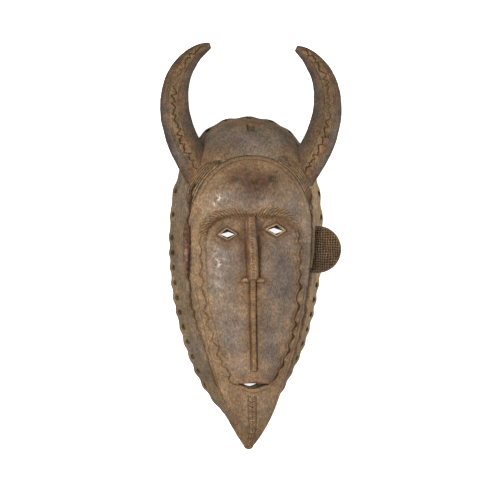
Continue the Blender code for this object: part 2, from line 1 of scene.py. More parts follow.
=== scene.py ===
"""Finish of the horned face mask: fine carving, worn wood, a pale floor, soft light and the camera.

The forms follow the solid's own formulas, in the same metres: while the shapes are made, X = 0 is the
middle of the face, Y = 0 the middle of the nose and Z = 0 the plane of the rim. The shapes are then
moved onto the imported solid.
"""
import json
import math

import bpy
import numpy as np
from mathutils import Matrix, Vector

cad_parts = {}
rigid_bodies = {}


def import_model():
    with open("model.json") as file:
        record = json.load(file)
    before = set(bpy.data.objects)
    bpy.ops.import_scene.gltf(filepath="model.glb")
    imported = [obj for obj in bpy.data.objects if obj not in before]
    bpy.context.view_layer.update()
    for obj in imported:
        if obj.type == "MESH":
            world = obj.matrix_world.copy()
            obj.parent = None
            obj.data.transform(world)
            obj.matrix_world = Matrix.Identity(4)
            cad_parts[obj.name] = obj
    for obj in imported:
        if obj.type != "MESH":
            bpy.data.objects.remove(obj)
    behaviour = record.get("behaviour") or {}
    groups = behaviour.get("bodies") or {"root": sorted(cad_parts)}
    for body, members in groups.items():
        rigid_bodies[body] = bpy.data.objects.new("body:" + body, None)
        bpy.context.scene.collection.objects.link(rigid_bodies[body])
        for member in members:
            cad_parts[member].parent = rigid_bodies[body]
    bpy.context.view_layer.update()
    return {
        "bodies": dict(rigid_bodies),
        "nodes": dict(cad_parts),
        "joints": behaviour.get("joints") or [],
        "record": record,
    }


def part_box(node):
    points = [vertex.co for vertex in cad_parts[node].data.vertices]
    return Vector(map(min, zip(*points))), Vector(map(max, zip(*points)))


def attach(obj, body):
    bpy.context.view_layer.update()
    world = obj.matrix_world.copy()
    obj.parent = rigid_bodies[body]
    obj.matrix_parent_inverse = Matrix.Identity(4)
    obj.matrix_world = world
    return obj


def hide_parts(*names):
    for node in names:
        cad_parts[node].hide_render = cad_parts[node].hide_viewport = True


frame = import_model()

# Hood
HOOD_WIDTH = 0.2000
HOOD_TOP = 0.1742
HOOD_BOTTOM = -0.2290
HOOD_MIDDLE = 0.0170
HOOD_TAPER = 2.0
HOOD_BLUNTNESS = 0.64
HOOD_SQUARENESS = 2.3
WALL = 0.0120
RIM_WALL = 0.0095
HOLE_DIAMETER = 0.0070
HOLE_SLANT = math.radians(38.0)
HOLE_HEIGHT = 0.0160
HOLE_TALLNESS = 1.35
HOLE_FREE_CHIN = 0.0120
HOLE_PAIRS = 40
SCALLOP_DEPTH = 0.0016
RIM_FLARE = 0.0025

# Face
FACE_WIDTH = 0.1606
FACE_TOP = 0.1220
FACE_BOTTOM = -0.2583
FACE_MIDDLE = 0.0130
FACE_TAPER = 1.55
FACE_BLUNTNESS = 0.72
FACE_SQUARENESS = 2.2
CHIN_LEAN = 0.0045
CHIN_ROUNDING = 0.0068
SPINE_TOP = 0.0760
SPINE_BOTTOM = -0.1870
CHIN_SOLID = 0.0450
EDGE_AT_CROWN = 0.0780
EDGE_AT_CHEEK = 0.0655
EDGE_AT_CHIN = 0.0460
FOREHEAD_HEIGHT = 0.1066
CHEEK_HEIGHT = 0.0950
MOUTH_HEIGHT = 0.0850
CHIN_HEIGHT = 0.0780

# Middle line of the face, which drifts to the right from the nose to the mouth
FACE_DRIFT = 0.0036

# Border, its saw-edged groove, and the fans of lines beside the horns; places are in millimetres
GROOVE_WIDTH = 0.0013
GROOVE_DEPTH = 0.0034
BORDER_RISE = 0.0030
LINE_WIDTH = 0.0009
LEFT_GROOVE = [
    (-70.3, 88.6), (-73.6, 80.9), (-77.1, 73.2), (-75.9, 66.1), (-79.8, 55.4), (-78.8, 49.0),
    (-82.2, 37.2), (-81.1, 31.2), (-80.6, 10.0), (-80.0, -18.0), (-79.0, -34.0), (-77.8, -42.0),
    (-75.3, -52.0), (-76.2, -60.0), (-73.8, -65.7), (-74.6, -73.5), (-70.0, -79.7), (-70.3, -87.0),
    (-67.0, -92.4), (-66.6, -100.4), (-62.4, -106.0), (-61.4, -114.9), (-57.0, -121.0), (-54.6, -133.0),
    (-50.6, -141.0), (-48.9, -150.3), (-44.9, -158.0), (-43.1, -167.0), (-39.3, -173.0),
    (-37.5, -178.8), (-33.0, -188.0), (-30.4, -197.3), (-26.5, -209.3),
]
SCAR_CRACK = [
    (-77.9, 31.0, 0.5), (-77.0, 11.5, 0.8), (-77.2, -7.7, 1.1), (-78.0, -15.0, 2.2),
    (-78.7, -22.0, 3.2), (-79.0, -29.0, 2.8), (-79.2, -38.0, 1.1),
]
RIGHT_GROOVE = [
    (79.0, 83.4), (78.0, 79.0), (79.6, 70.3), (78.2, 63.8), (80.4, 57.4), (78.8, 50.8), (80.6, 43.4),
    (79.6, 34.0), (80.8, 24.0), (79.8, 10.0), (80.2, -6.0), (79.5, -24.0), (80.9, -38.8), (76.9, -49.5),
    (78.7, -58.4), (74.2, -67.7), (76.4, -80.4), (71.4, -88.6), (72.4, -98.0), (68.4, -106.8),
    (68.8, -114.0), (64.1, -123.9), (64.0, -133.0), (60.0, -141.2), (59.2, -150.0), (54.5, -158.1),
    (52.2, -166.0), (46.2, -174.9), (41.0, -184.0),
]
LEFT_ZIGZAG = [
    (-63.3, 18.1), (-65.6, 7.9), (-62.1, -1.0), (-64.6, -10.0), (-61.2, -20.1), (-64.4, -31.5),
    (-58.7, -40.5), (-61.9, -48.3), (-57.0, -61.8), (-54.0, -68.6), (-58.2, -78.7), (-51.6, -86.6),
    (-54.6, -95.3), (-45.2, -108.0), (-47.9, -117.3), (-37.5, -124.2), (-40.3, -133.8), (-33.5, -143.0),
    (-34.2, -149.0), (-28.2, -150.9), (-22.8, -159.0), (-24.9, -167.0), (-19.1, -171.8),
    (-11.0, -173.0),
]
LEFT_INNER_LINE = [
    (-56.8, 2.0), (-56.2, -16.2), (-55.2, -39.2), (-52.8, -64.7), (-48.3, -84.3), (-43.2, -99.1),
    (-38.1, -121.6), (-32.4, -136.2),
]
RIGHT_SCALLOPS = [
    (60.5, 26.7, 0.6), (62.9, 20.0, 1.3), (60.9, 12.9, 0.6), (66.0, 5.5, 1.4), (62.6, -4.0, 0.6),
    (65.6, -12.3, 1.4), (62.4, -22.2, 0.6), (66.2, -29.3, 1.5), (62.6, -38.9, 0.6), (66.6, -45.9, 2.1),
    (61.6, -55.4, 0.6), (60.3, -62.4, 0.7), (65.0, -70.6, 2.1), (60.9, -80.1, 0.6), (58.4, -87.9, 0.7),
    (61.8, -94.5, 2.1), (55.6, -103.7, 0.6), (58.4, -110.4, 2.0), (51.9, -120.2, 0.6),
    (53.6, -128.5, 1.9), (45.7, -138.9, 0.6), (46.0, -147.0, 1.8), (39.0, -153.8, 0.7),
    (37.8, -160.2, 1.7), (31.1, -168.7, 0.8),
]
HATCH_PITCH = 0.0030
FAN_LINES = 5
FAN_WIDTH = 0.0125
LEFT_FAN_SPAN = (0.28, 0.70, 0.95, 1.35)
RIGHT_FAN_SPAN = (0.33, 0.42, 0.80, 1.30)
FAN_RISE = 0.0016

# Brows and eyes
BROW_HALF_SPAN = 0.0650
BROW_CENTRE = 0.0050
BROW_RISE = 0.0440
LEFT_BROW = [
    (-1.5, 41.5), (-6.2, 44.0), (-13.2, 46.0), (-25.3, 47.7), (-37.4, 46.6), (-47.6, 42.8),
    (-55.0, 36.3), (-59.8, 28.4), (-62.7, 16.8), (-63.8, 6.5),
]
RIGHT_BROW = [
    (1.0, 42.0), (6.5, 45.2), (13.5, 48.1), (22.3, 50.1), (34.3, 50.3), (44.5, 47.3), (52.1, 41.8),
    (57.6, 34.3), (60.6, 25.0),
]
BROW_WIDTH = 0.0118
BROW_HEIGHT = 0.0022
BROW_PITCH = 0.0044
EYE_HOLLOW = 0.0070
LEFT_EYE_FRAME = [(-42.6, 20.0), (-31.6, 28.6), (-17.4, 20.8), (-29.9, 12.6)]
RIGHT_EYE_FRAME = [(17.2, 27.6), (32.3, 35.0), (44.8, 26.6), (32.5, 18.6)]
LEFT_EYE_HOLE = [(-39.3, 20.2), (-28.6, 23.3), (-20.6, 20.4), (-30.2, 16.4)]
RIGHT_EYE_HOLE = [(21.4, 26.6), (29.8, 29.6), (41.8, 25.9), (31.8, 22.0)]
RIGHT_LID = [(14.0, 27.5), (21.5, 35.9), (34.2, 41.6), (45.0, 36.4), (50.6, 25.5)]
EYE_FRAME_RISE = 0.0023
EYE_THROAT_LEVEL = 0.0835
EYE_LIP_LEVEL = 0.0885
EYE_LIP_SHARE = 0.79
EYE_WIDE_SHARE = 0.98
CUTTER_FOOT = 0.0500
CUTTER_TOP = 0.1050

# Nose, ridge, mouth and chin
NOSE_TOP = 0.0450
NOSE_BOTTOM = -0.0400
NOSE_WIDTH = 0.0150
NOSE_RISE = 0.0087
NOSE_PITCH = 0.0036
NOSE_START = 0.0030
NOSE_FOOT = 0.0040
NOSTRIL_DIAMETER = 0.0105
NOSTRIL_SPACING = 0.0240
NOSTRIL_SHARE = 0.12
NOSTRIL_EDGE = 0.069
RIDGE_BOTTOM = -0.1550
RIDGE_WIDTH = 0.0080
RIDGE_RISE = 0.0055
RIDGE_PITCH = 0.0029
RIDGE_END = 0.0035
MOUTH_X = 0.0075
MOUTH_LEVEL = -0.1712
MOUTH_WIDTH = 0.0400
MOUTH_SLIT_WIDTH = 0.0380
MOUTH_SLIT_HEIGHT = 0.0085
MOUTH_THROAT_LEVEL = 0.0760
MOUTH_THROAT_SHIFT = (-0.0040, 0.0010)
MOUTH_THROAT_SHARE = (0.52, 0.60)
MOUTH_LIP_LEVEL = 0.0885
LIP_HEIGHT = 0.0058
LIP_RISE = 0.0024
CHIN_BAND_WIDTH = 0.0092
CHIN_BAND_RISE = 0.0014
CHIN_BAND_PITCH = 0.0032

# Horns
HORN_BASE_X = 0.0625
HORN_BASE_Y = 0.0948
HORN_BASE_Z = 0.0540
HORN_SWEEP_BACK = 0.0080
LEFT_HORN_LENGTH = 0.1975
RIGHT_HORN_LENGTH = 0.1945
HORN_LEAN = math.radians(32.3)
LEFT_HORN_TURN = math.radians(102.0)
RIGHT_HORN_TURN = math.radians(99.0)
HORN_CURL = 1.835
HORN_WIDTH = 0.0420
HORN_DEPTH = 0.0330
HORN_TIP = 0.0076
HORN_SQUARENESS = 2.25
HORN_FRONT = (math.radians(15.0), math.radians(165.0))
HORN_ZIGZAG_PITCH = 0.0118
HORN_ZIGZAG_REACH = 0.0034
HORN_ZIGZAG_DEPTH = 0.0015
HORN_LINES = ((-0.0064, 0.0007), (0.0064, 0.0007), (0.0088, 0.0004))

# Ear and the scar of the lost ear
EAR_RADIUS = 0.0305
EAR_X = 0.0897
EAR_Y = 0.0030
EAR_Z = 0.0530
EAR_THICKNESS = 0.0090
EAR_BEVEL = 0.0012
EAR_GRID_PITCH = 0.0032
EAR_GRID_DEPTH = 0.0012
SCAR_MIDDLE = 0.0070
SCAR_LENGTH = 0.0500
SCAR_OUTER = -0.0842
SCAR_INNER = -0.0778
SCAR_RISE = 0.0022
SCAR_FOOT = 0.0300
CRACK_FOOT = 0.0450
FAR_AWAY = 1.0

# Recess near the top of the hood
RECESS_WIDTH = 0.0120
RECESS_LENGTH = 0.0100
RECESS_DEPTH = 0.0030
RECESS_Y = 0.1600

# How dark the inside of the hollow is painted, as painted shade, and the size of the pale specks on the chin
# and of the painted highlight specks on the nostrils
HOLLOW_PAINTED_SHADE = 0.80
SPECK_SIZE = 0.0022

# Soft oval patches of each tone: place, half size and amount, with places and sizes in millimetres
FACE_PATCHES = (
    ("patina", (((-34, -18), (20, 48), 0.95), ((38, -35), (22, 66), 1.00), ((-25, -105), (18, 34), 0.80),
                ((27, -118), (14, 40), 0.95), ((-2, 68), (52, 20), 0.90), ((52, 45), (14, 40), 0.90),
                ((70, 15), (7, 44), 0.80), ((0, -150), (40, 12), 0.40), ((22, -205), (10, 16), 0.60))),
    ("stain_and_shade", (((23, 90), (12, 10), 1.00), ((-8, 96), (24, 10), 0.80), ((6, 86), (34, 17), 0.90),
               ((0, 70), (12, 10), 0.45), ((8, 90), (20, 12), 0.90), ((-20, 90), (17, 10), 0.78),
               # The first seven patches of this tone mark the stained forehead; the last four, beside the
               # nose and round the nostrils, are painted shade.
               ((4, 78), (18, 9), 0.72), ((-9, 2), (4.5, 38), 0.34), ((-12, -36), (7, 7), 0.42),
               ((12, -33), (7, 9), 0.42), ((9, 12), (4, 30), 0.22))),
    ("shade", (((73, -12), (11, 66), 0.88), ((41, -35), (26, 68), 0.84), ((26, -118), (18, 44), 0.50),
               ((21, -82), (12, 44), 0.52), ((-10, -215), (24, 32), 0.46), ((-25, -105), (18, 34), 0.40),
               ((-36, -20), (18, 42), 0.38), ((13, 8), (5, 38), 0.16), ((-11, 8), (4, 40), 0.42),
               ((62, 55), (16, 34), 0.42), ((-10, -100), (12, 40), 0.14))),
    ("polish", (((-42, 66), (11, 14), 1.00), ((30, 78), (12, 10), 1.00), ((18, 65), (8, 6), 1.00),
                ((-40, -12), (7, 17), 1.00), ((-40, -52), (8, 12), 1.00), ((30, 0), (14, 40), 0.35),
                ((-2, 62), (40, 12), 0.30))),
    # The second and third brown patches, round the nostrils, are painted shade.
    ("brown", (((0, 86), (46, 21), 1.00), ((-10, -38), (10, 10), 1.00), ((18, -38), (10, 8), 0.70),
               ((-12, -210), (20, 34), 0.55))),
)
HOOD_PATCHES = (
    ("patina", (((0, 140), (70, 26), 0.85), ((-88, 60), (14, 36), 0.80), ((-86, -40), (14, 50), 0.50),
                ((-66, -130), (14, 28), 0.70))),
    ("brown", (((-42, 126), (26, 12), 0.75), ((44, 126), (22, 12), 0.75), ((0, 166), (22, 5), 0.70),
               ((-62, 118), (16, 14), 0.90), ((62, 118), (16, 14), 0.90))),
    ("shade", (((0, 140), (66, 22), 0.36),)),
)

# Fineness of the meshes
FACE_POINTS = 840
BAND_RINGS = 38
BAND_REACH = 0.0250
CHEEK_RINGS = 66
HOOD_POINTS = 760
HOOD_RINGS = 70
BACK_RINGS = 20
ROOF_RINGS = 8
HORN_RINGS = 380
HORN_FRONT_POINTS = 84
HORN_BACK_POINTS = 40
HORN_PATH_STEPS = 2000
OUTLINE_STEPS = 4000
RIDGE_STEP = 0.00055
RIDGE_POINTS = 33
RIDGE_CREASE = 60.0
KNOB_POINTS = 40
KNOB_RINGS = 18
HOLE_POINTS = 20
SLIT_POINTS = 25
EAR_RINGS = 84
EAR_POINTS = 300

# View: the camera looks down on the mask from a little to the left of its middle
CAMERA_DISTANCE = 2.3
CAMERA_YAW = math.radians(-4.4)
CAMERA_ROLL = math.radians(-1.0)
CAMERA_AIM = (0.0, -0.0046, 0.06)
FRAME_WIDTH = 0.6460

# Colours of the wood and of its tones, painted shade among them, and how strong its fine specks are
OLIVE = (0.148, 0.112, 0.060)
PATINA = (0.124, 0.105, 0.101)
OCHRE = (0.256, 0.164, 0.078)
RUSSET = (0.190, 0.098, 0.050)
DEEP_BROWN = (0.108, 0.050, 0.016)
SHADE = (0.047, 0.037, 0.033)
RED = (0.185, 0.074, 0.036)
PALE = (0.400, 0.300, 0.205)
BARE_DARK = (0.074, 0.036, 0.026)
BARE_PALE = (0.145, 0.074, 0.048)
# Colour of the stained forehead, also used as painted shade beside the nose and round the nostrils
STAIN_AND_SHADE = (0.030, 0.010, 0.003)
DARK_CUTS_AND_SHADE = (0.021, 0.010, 0.005)
SPECKLE = 0.15
# Painted shade on the walls of the eye and mouth openings and of the rim holes
OPENING_WALL_SHADE = 0.96
HOLE_WALL_SHADE = 1.03
WOODS = {
    "face_wood": {"brown": (0.158, 0.099, 0.055), "tan": (0.222, 0.143, 0.081)},
    "hood_wood": {"brown": (0.128, 0.088, 0.046), "tan": (0.180, 0.126, 0.066), "gloss": 0.62},
    "horn_wood": {"brown": (0.062, 0.036, 0.017), "tan": (0.094, 0.053, 0.024),
                  "gloss": 0.60, "richness": 0.56},
    "ear_wood": {"brown": (0.054, 0.029, 0.012), "tan": (0.080, 0.043, 0.017),
                 "gloss": 0.66, "richness": 0.58},
}

# Floor, and the lights: name, place, width, length and power
FLOOR_REACH = 6.0
WARM_LIGHT = (1.0, 0.955, 0.880)
WORLD_STRENGTH = 0.40
LIGHT_AIM = (0.0, 0.0, 0.06)
LIGHTS = (
    ("key", (-0.98, 0.02, 1.42), 0.20, 0.50, 24.0),
    ("right", (1.05, 0.62, 1.18), 0.12, 0.12, 7.0),
    ("side", (1.70, 0.00, 0.20), 0.80, 0.60, 19.0),
    ("spark", (-1.01, -0.50, 1.42), 0.12, 0.16, 3.5),
    ("glint", (0.56, -0.56, 1.42), 0.10, 0.10, 1.5),
    ("top", (-0.30, 1.30, 1.30), 1.00, 0.60, 5.0),
    ("low", (-0.50, -1.30, 1.20), 1.00, 0.60, 6.0),
)


def smooth(value, low, high):
    """Rises smoothly from 0 at low to 1 at high."""
    share = np.clip((np.asarray(value, dtype=float) - low) / (high - low), 0.0, 1.0)
    return share * share * (3.0 - 2.0 * share)


def fall(value, low, high):
    """Falls smoothly from 1 at low to 0 at high."""
    return 1.0 - smooth(value, low, high)


def between(value, low, full, fading, high):
    """Rises from 0 at low to 1 at full, and falls from fading to 0 at high."""
    return smooth(value, low, full) * fall(value, fading, high)


def through(places, heights, value):
    """A smooth curve through a few heights: each span eases from one place to the next."""
    result = np.full_like(np.asarray(value, dtype=float), heights[0])
    for low, high, start, end in zip(places, places[1:], heights, heights[1:]):
        result = result + (end - start) * smooth(value, low, high)
    return result


def hashed(x, y, z, seed):
    """A value from -1 to 1 for each corner of a grid, always the same for the same corner."""
    mixed = (x * 374761393 + y * 668265263 + z * 1442695041 + seed * 1274126177) & 0xFFFFFFFF
    mixed = ((mixed ^ (mixed >> 13)) * 1274126177) & 0xFFFFFFFF
    return ((mixed ^ (mixed >> 16)) & 0xFFFF) / 32767.5 - 1.0


def noise(points, size, seed=0):
    """Smooth noise from -1 to 1 with lumps of a given size."""
    scaled = np.asarray(points) / size
    cell = np.floor(scaled).astype(np.int64)
    part = scaled - cell
    part = part * part * (3.0 - 2.0 * part)
    total = np.zeros(len(scaled))
    for corner in np.ndindex(2, 2, 2):
        weight = np.where(corner, part, 1.0 - part).prod(axis=1)
        total += weight * hashed(*(cell + corner).T, seed)
    return total


def pointed_oval(angle, width, middle, top, bottom, squareness, taper, bluntness):
    """An oval, rounded above its middle and tapered below; angle 0 is its top, pi its foot."""
    rise = np.cos(angle)
    side = np.sign(np.sin(angle))
    upper = np.clip(1.0 - np.abs(rise) ** squareness, 0.0, None) ** (1.0 / squareness)
    lower = np.clip(1.0 - np.abs(rise) ** taper, 0.0, None) ** bluntness
    x = side * width / 2.0 * np.where(rise > 0.0, upper, lower)
    y = middle + np.where(rise > 0.0, top - middle, middle - bottom) * rise
    return np.stack([x, y], axis=-1)


def face_outline(angle, inset=0.0, foot=0.0):
    """The outer edge of the face, or a curve inside it by inset, with its foot raised."""
    outline = pointed_oval(angle, FACE_WIDTH - 2.0 * inset, FACE_MIDDLE, FACE_TOP - inset,
                           FACE_BOTTOM + foot, FACE_SQUARENESS, FACE_TAPER, FACE_BLUNTNESS)
    radius = max(CHIN_ROUNDING - inset, 0.0)
    above_tip = np.clip(outline[..., 1] - FACE_BOTTOM - foot, 0.0, 2.0 * radius)
    rounded_tip = np.sqrt(above_tip * (2.0 * radius - above_tip))
    outline[..., 0] = np.copysign(np.maximum(np.abs(outline[..., 0]), rounded_tip), outline[..., 0])
    return outline


def rim_outline(angle, inset=0.0):
    """The outer edge of the hood's rim, or a curve inside it by inset."""
    return pointed_oval(angle, HOOD_WIDTH - 2.0 * inset, HOOD_MIDDLE, HOOD_TOP - inset,
                        HOOD_BOTTOM + 1.4 * inset, HOOD_SQUARENESS, HOOD_TAPER, HOOD_BLUNTNESS)


def spine(angle):
    """The line down the middle of the face that the rings of the surface close in on."""
    rise = np.cos(angle)
    reach = np.where(rise > 0.0, SPINE_TOP - FACE_MIDDLE, FACE_MIDDLE - SPINE_BOTTOM)
    return np.stack([np.zeros_like(rise), FACE_MIDDLE + reach * rise], axis=-1)


def even_angles(count):
    """Angles round the face whose points on its outline lie at even distances, and those distances."""
    dense = np.linspace(0.0, math.pi, OUTLINE_STEPS + 1)
    steps = np.linalg.norm(np.diff(face_outline(dense), axis=0), axis=1)
    along = np.concatenate([[0.0], np.cumsum(steps)])
    place = np.linspace(0.0, along[-1], count // 2 + 1)
    half = np.interp(place, along, dense)
    angle = np.concatenate([half, 2.0 * math.pi - half[-2:0:-1]])
    return angle, np.concatenate([place, place[-2:0:-1]])


def edge_height(y):
    """Height of the hood where it meets the face."""
    places = (FACE_BOTTOM, FACE_MIDDLE - 0.05, FACE_TOP)
    return through(places, (EDGE_AT_CHIN, EDGE_AT_CHEEK, EDGE_AT_CROWN), y)


def crest_height(y):
    """Height of the face along its middle, without the nose."""
    places = (SPINE_BOTTOM, MOUTH_LEVEL + 0.02, NOSE_BOTTOM, 0.047, SPINE_TOP)
    heights = (CHIN_HEIGHT, MOUTH_HEIGHT + 0.004, CHEEK_HEIGHT, CHEEK_HEIGHT + 0.006, FOREHEAD_HEIGHT)
    return through(places, heights, y)


def brow_reach(x, y):
    """One on the brow arch, less than one inside it and more outside."""
    return (np.abs(x / BROW_HALF_SPAN) ** 3 + np.abs((y - BROW_CENTRE) / BROW_RISE) ** 3) ** (1.0 / 3.0)


def eye_hollow(x, y):
    """Depth of the hollow below the brow, deepest under the arch and gone on the cheeks."""
    under_brow = fall(brow_reach(x, y), 0.84, 1.0)
    above_cheek = smooth(y, BROW_CENTRE - 0.045, BROW_CENTRE + 0.03)
    return EYE_HOLLOW * under_brow * above_cheek


def face_height(x, y, share, edge):
    """Height of the face between its edge (share 1) and its middle line (share 0)."""
    swell = np.clip(1.0 - share ** 2.2, 0.0, None) ** 0.8
    return edge + (crest_height(y) - edge) * swell - eye_hollow(x, y)


def groove(distance, width):
    """A rounded groove, 1 at its middle and 0 beyond its width."""
    return np.clip(1.0 - (np.abs(distance) / width) ** 2, 0.0, 1.0) ** 1.5


def wave(value):
    """A triangle wave from -1 to 1 with period 1."""
    return 4.0 * np.abs(value - np.floor(value + 0.5)) - 1.0


def notches(place, pitch, width):
    """Grooves across a line, one for each pitch."""
    return groove(0.5 * pitch * (wave(place / pitch) + 1.0), width)


def millimetres(places):
    """Places given in millimetres, in metres."""
    return np.array(places, dtype=float) / 1000.0


def with_widths(places):
    """A line and its widths in metres, from places that give X, Y and width in millimetres."""
    return millimetres([place[:2] for place in places]), [place[2] / 1000.0 for place in places]


def line_length(line):
    """Length of a line through places."""
    return float(np.hypot(*np.diff(line, axis=0).T).sum())


def flat_points(x, y, z=0.0):
    """Points at one height, for the noise."""
    return np.column_stack([x, y, np.full(len(x), z)])


def near_line(x, y, line, widths=None):
    """Distance to a line, how far along it the nearest place is, its side, and the width there."""
    best = np.full(len(x), 1e9)
    along, side, width = np.zeros(len(x)), np.zeros(len(x)), np.zeros(len(x))
    start = 0.0
    for i, (a, b) in enumerate(zip(line, line[1:])):
        run = b - a
        length = float(np.hypot(*run))
        share = np.clip(((x - a[0]) * run[0] + (y - a[1]) * run[1]) / length ** 2, 0.0, 1.0)
        dx, dy = x - a[0] - share * run[0], y - a[1] - share * run[1]
        distance = np.hypot(dx, dy)
        closer = distance < best
        best = np.where(closer, distance, best)
        along = np.where(closer, start + share * length, along)
        side = np.where(closer, np.sign(run[0] * dy - run[1] * dx), side)
        if widths is not None:
            width = np.where(closer, widths[i] + (widths[i + 1] - widths[i]) * share, width)
        start += length
    return best, along, side, width


def rounded(line, steps=6):
    """A smooth curve through the places of a line."""
    line = np.asarray(line)
    ends = np.vstack([2 * line[0] - line[1], line, 2 * line[-1] - line[-2]])
    share = np.linspace(0.0, 1.0, steps, endpoint=False)[:, None]
    spans = []
    for a, b, c, d in zip(ends, ends[1:], ends[2:], ends[3:]):
        spans.append(0.5 * (2 * b + (c - a) * share + (2 * a - 5 * b + 4 * c - d) * share ** 2
                            + (3 * b - a - 3 * c + d) * share ** 3))
    return np.vstack(spans + [line[-1:]])


def polygon_distance(x, y, corners):
    """Distance to the outline of a polygon, negative inside it."""
    closed = np.vstack([corners, corners[:1]])
    distance, _, _, _ = near_line(x, y, closed)
    inside = np.zeros(len(x), dtype=bool)
    for a, b in zip(closed, closed[1:]):
        crosses = (a[1] > y) != (b[1] > y)
        if a[1] != b[1]:
            inside ^= crosses & (x < (b[0] - a[0]) * (y - a[1]) / (b[1] - a[1]) + a[0])
    return np.where(inside, -distance, distance)


def blob(x, y, place, size):
    """A soft oval patch, 1 at its middle."""
    across = (x - place[0] / 1000.0) / (size[0] / 1000.0)
    down = (y - place[1] / 1000.0) / (size[1] / 1000.0)
    return np.exp(-1.2 * (across ** 2 + down ** 2))


def middle_line(y):
    """How far to the right the middle of the face lies at each height."""
    return FACE_DRIFT * smooth(-y, 0.010, 0.120) * fall(-y, 0.200, -FACE_BOTTOM)


def nose_line(y):
    """X of the nose, ridge and chin band, which run slightly askew down the face."""
    return through((FACE_BOTTOM, -0.2250, -0.1700, NOSE_BOTTOM, NOSE_TOP),
                   (0.0008, 0.0055, 0.0068, 0.0028, -0.0011), y)


class Relief:
    """Height added to a surface, and how far each tone shows there: tones of the wood, and painted shade."""

    TONES = ("dark", "ochre", "red", "patina", "brown", "stain_and_shade", "shade", "raw", "polish", "pale")

    def __init__(self, count):
        self.height = np.zeros(count)
        self.tones = {tone: np.zeros(count) for tone in self.TONES}

    def tint(self, tone, amount):
        """Bring out a tone at least by amount."""
        self.tones[tone] = np.maximum(self.tones[tone], np.ravel(amount))

    def patches(self, x, y, table):
        """Bring out tones in soft oval patches."""
        for tone, patches in table:
            for place, size, amount in patches:
                self.tint(tone, amount * blob(x, y, place, size))

    def fade(self, tone, amount):
        """Take a tone away where amount is 1."""
        self.tones[tone] = self.tones[tone] * (1.0 - amount)

    def cut(self, amount, depth, darkness=1.0):
        """Lower the surface where amount is 1, and darken the cut."""
        self.height -= depth * np.ravel(amount)
        self.tint("dark", amount * darkness)

    def raise_by(self, amount, height, ochre=0.0):
        """Lift the surface where amount is 1, and let the pale ochre wood show."""
        self.height += height * amount
        self.tint("ochre", amount * ochre)

    def store(self, mesh, before=0):
        """Write the tones into the mesh, after a number of points inside the hollow, which get painted shade.
        """
        for tone, values in self.tones.items():
            inside = HOLLOW_PAINTED_SHADE if tone == "dark" else 0.0
            set_attribute(mesh, tone, np.concatenate([np.full(before, inside), values]))


def carve_side_grooves(relief, x, y):
    """The dark saw-edged grooves between hood and face, cut into both."""
    for line, worn_away in ((LEFT_GROOVE, 0.50), (RIGHT_GROOVE, 0.20)):
        places = millimetres(line)
        distance, along, _, _ = near_line(x, y, places)
        ends = between(along, 0.0, 0.006, line_length(places) - 0.045, line_length(places))
        width = GROOVE_WIDTH * (0.85 + 0.35 * np.sin(along * 430.0) + 0.2 * np.sin(along * 1130.0))
        broad = 0.0005 + 0.0005 * smooth(y, -0.070, -0.020)
        if line is RIGHT_GROOVE:
            broad = broad + 0.0016 * smooth(-y, 0.012, 0.036)
        worn = 1.0 - worn_away * smooth(-y, 0.080, 0.115)
        right_low = smooth(x, 0.0, 0.010) * smooth(-y, 0.0, 0.030)
        cut = groove(distance, np.maximum(width, 0.0006) + broad) * ends
        relief.cut(cut, depth=GROOVE_DEPTH, darkness=worn)
        relief.tint("dark", worn * fall(distance, 0.0009, 0.0018) * ends * smooth(y, -0.120, -0.030))
        relief.tint("brown", 0.45 * fall(distance, 0.0012, 0.0028) * ends)
        relief.tint("brown", 0.85 * fall(distance, 0.0022, 0.0046) * ends * right_low)


def carve_scar_crack(relief, x, y):
    """The dark crack between the scar of the lost ear and the face, widest below the scar."""
    line, widths = with_widths(SCAR_CRACK)
    distance, along, _, width = near_line(x, y, line, widths)
    reach = distance / (width * (1.0 + 0.20 * np.sin(along * 900.0)) + 0.0002)
    relief.cut(fall(reach, 0.60, 1.10), depth=0.0018, darkness=1.0)
    relief.tint("brown", 0.7 * fall(distance, width, width + 0.0025))


def carve_border(relief, y, inset):
    """The plain band along the edge and the double line over the forehead."""
    upper = smooth(y, 0.040, 0.085)
    sides = fall(y, -0.060, -0.040) * smooth(y, -0.215, -0.200)
    relief.cut(groove(inset - 0.0003, 0.0011) * smooth(y, 0.05, 0.09), depth=0.0010, darkness=1.0)
    relief.cut(groove(inset - 0.0058, LINE_WIDTH) * upper, depth=0.0008, darkness=0.7)
    relief.cut(groove(inset - 0.0040, LINE_WIDTH) * sides, depth=0.0007, darkness=0.6)
    relief.tint("ochre", between(inset, 0.001, 0.003, 0.012, 0.020) * (0.50 - 0.16 * upper))


def carve_scar_edge(relief, x, y):
    """The part of the broken ear's scar that reaches over the edge of the face."""
    spots = flat_points(x, y, 0.06)
    raw = scar_mask(spots)
    relief.height += raw * (scar_roughness(spots) + SCAR_RISE * 0.4 - border_rise(y))
    relief.tint("raw", raw)
    for tone in ("ochre", "dark"):
        relief.fade(tone, raw)


def scar_roughness(spots):
    """The splintered surface where the second ear broke off."""
    return 0.0005 * noise(spots, 0.0040, 7) + 0.0006 * noise(spots, 0.0016, 8)


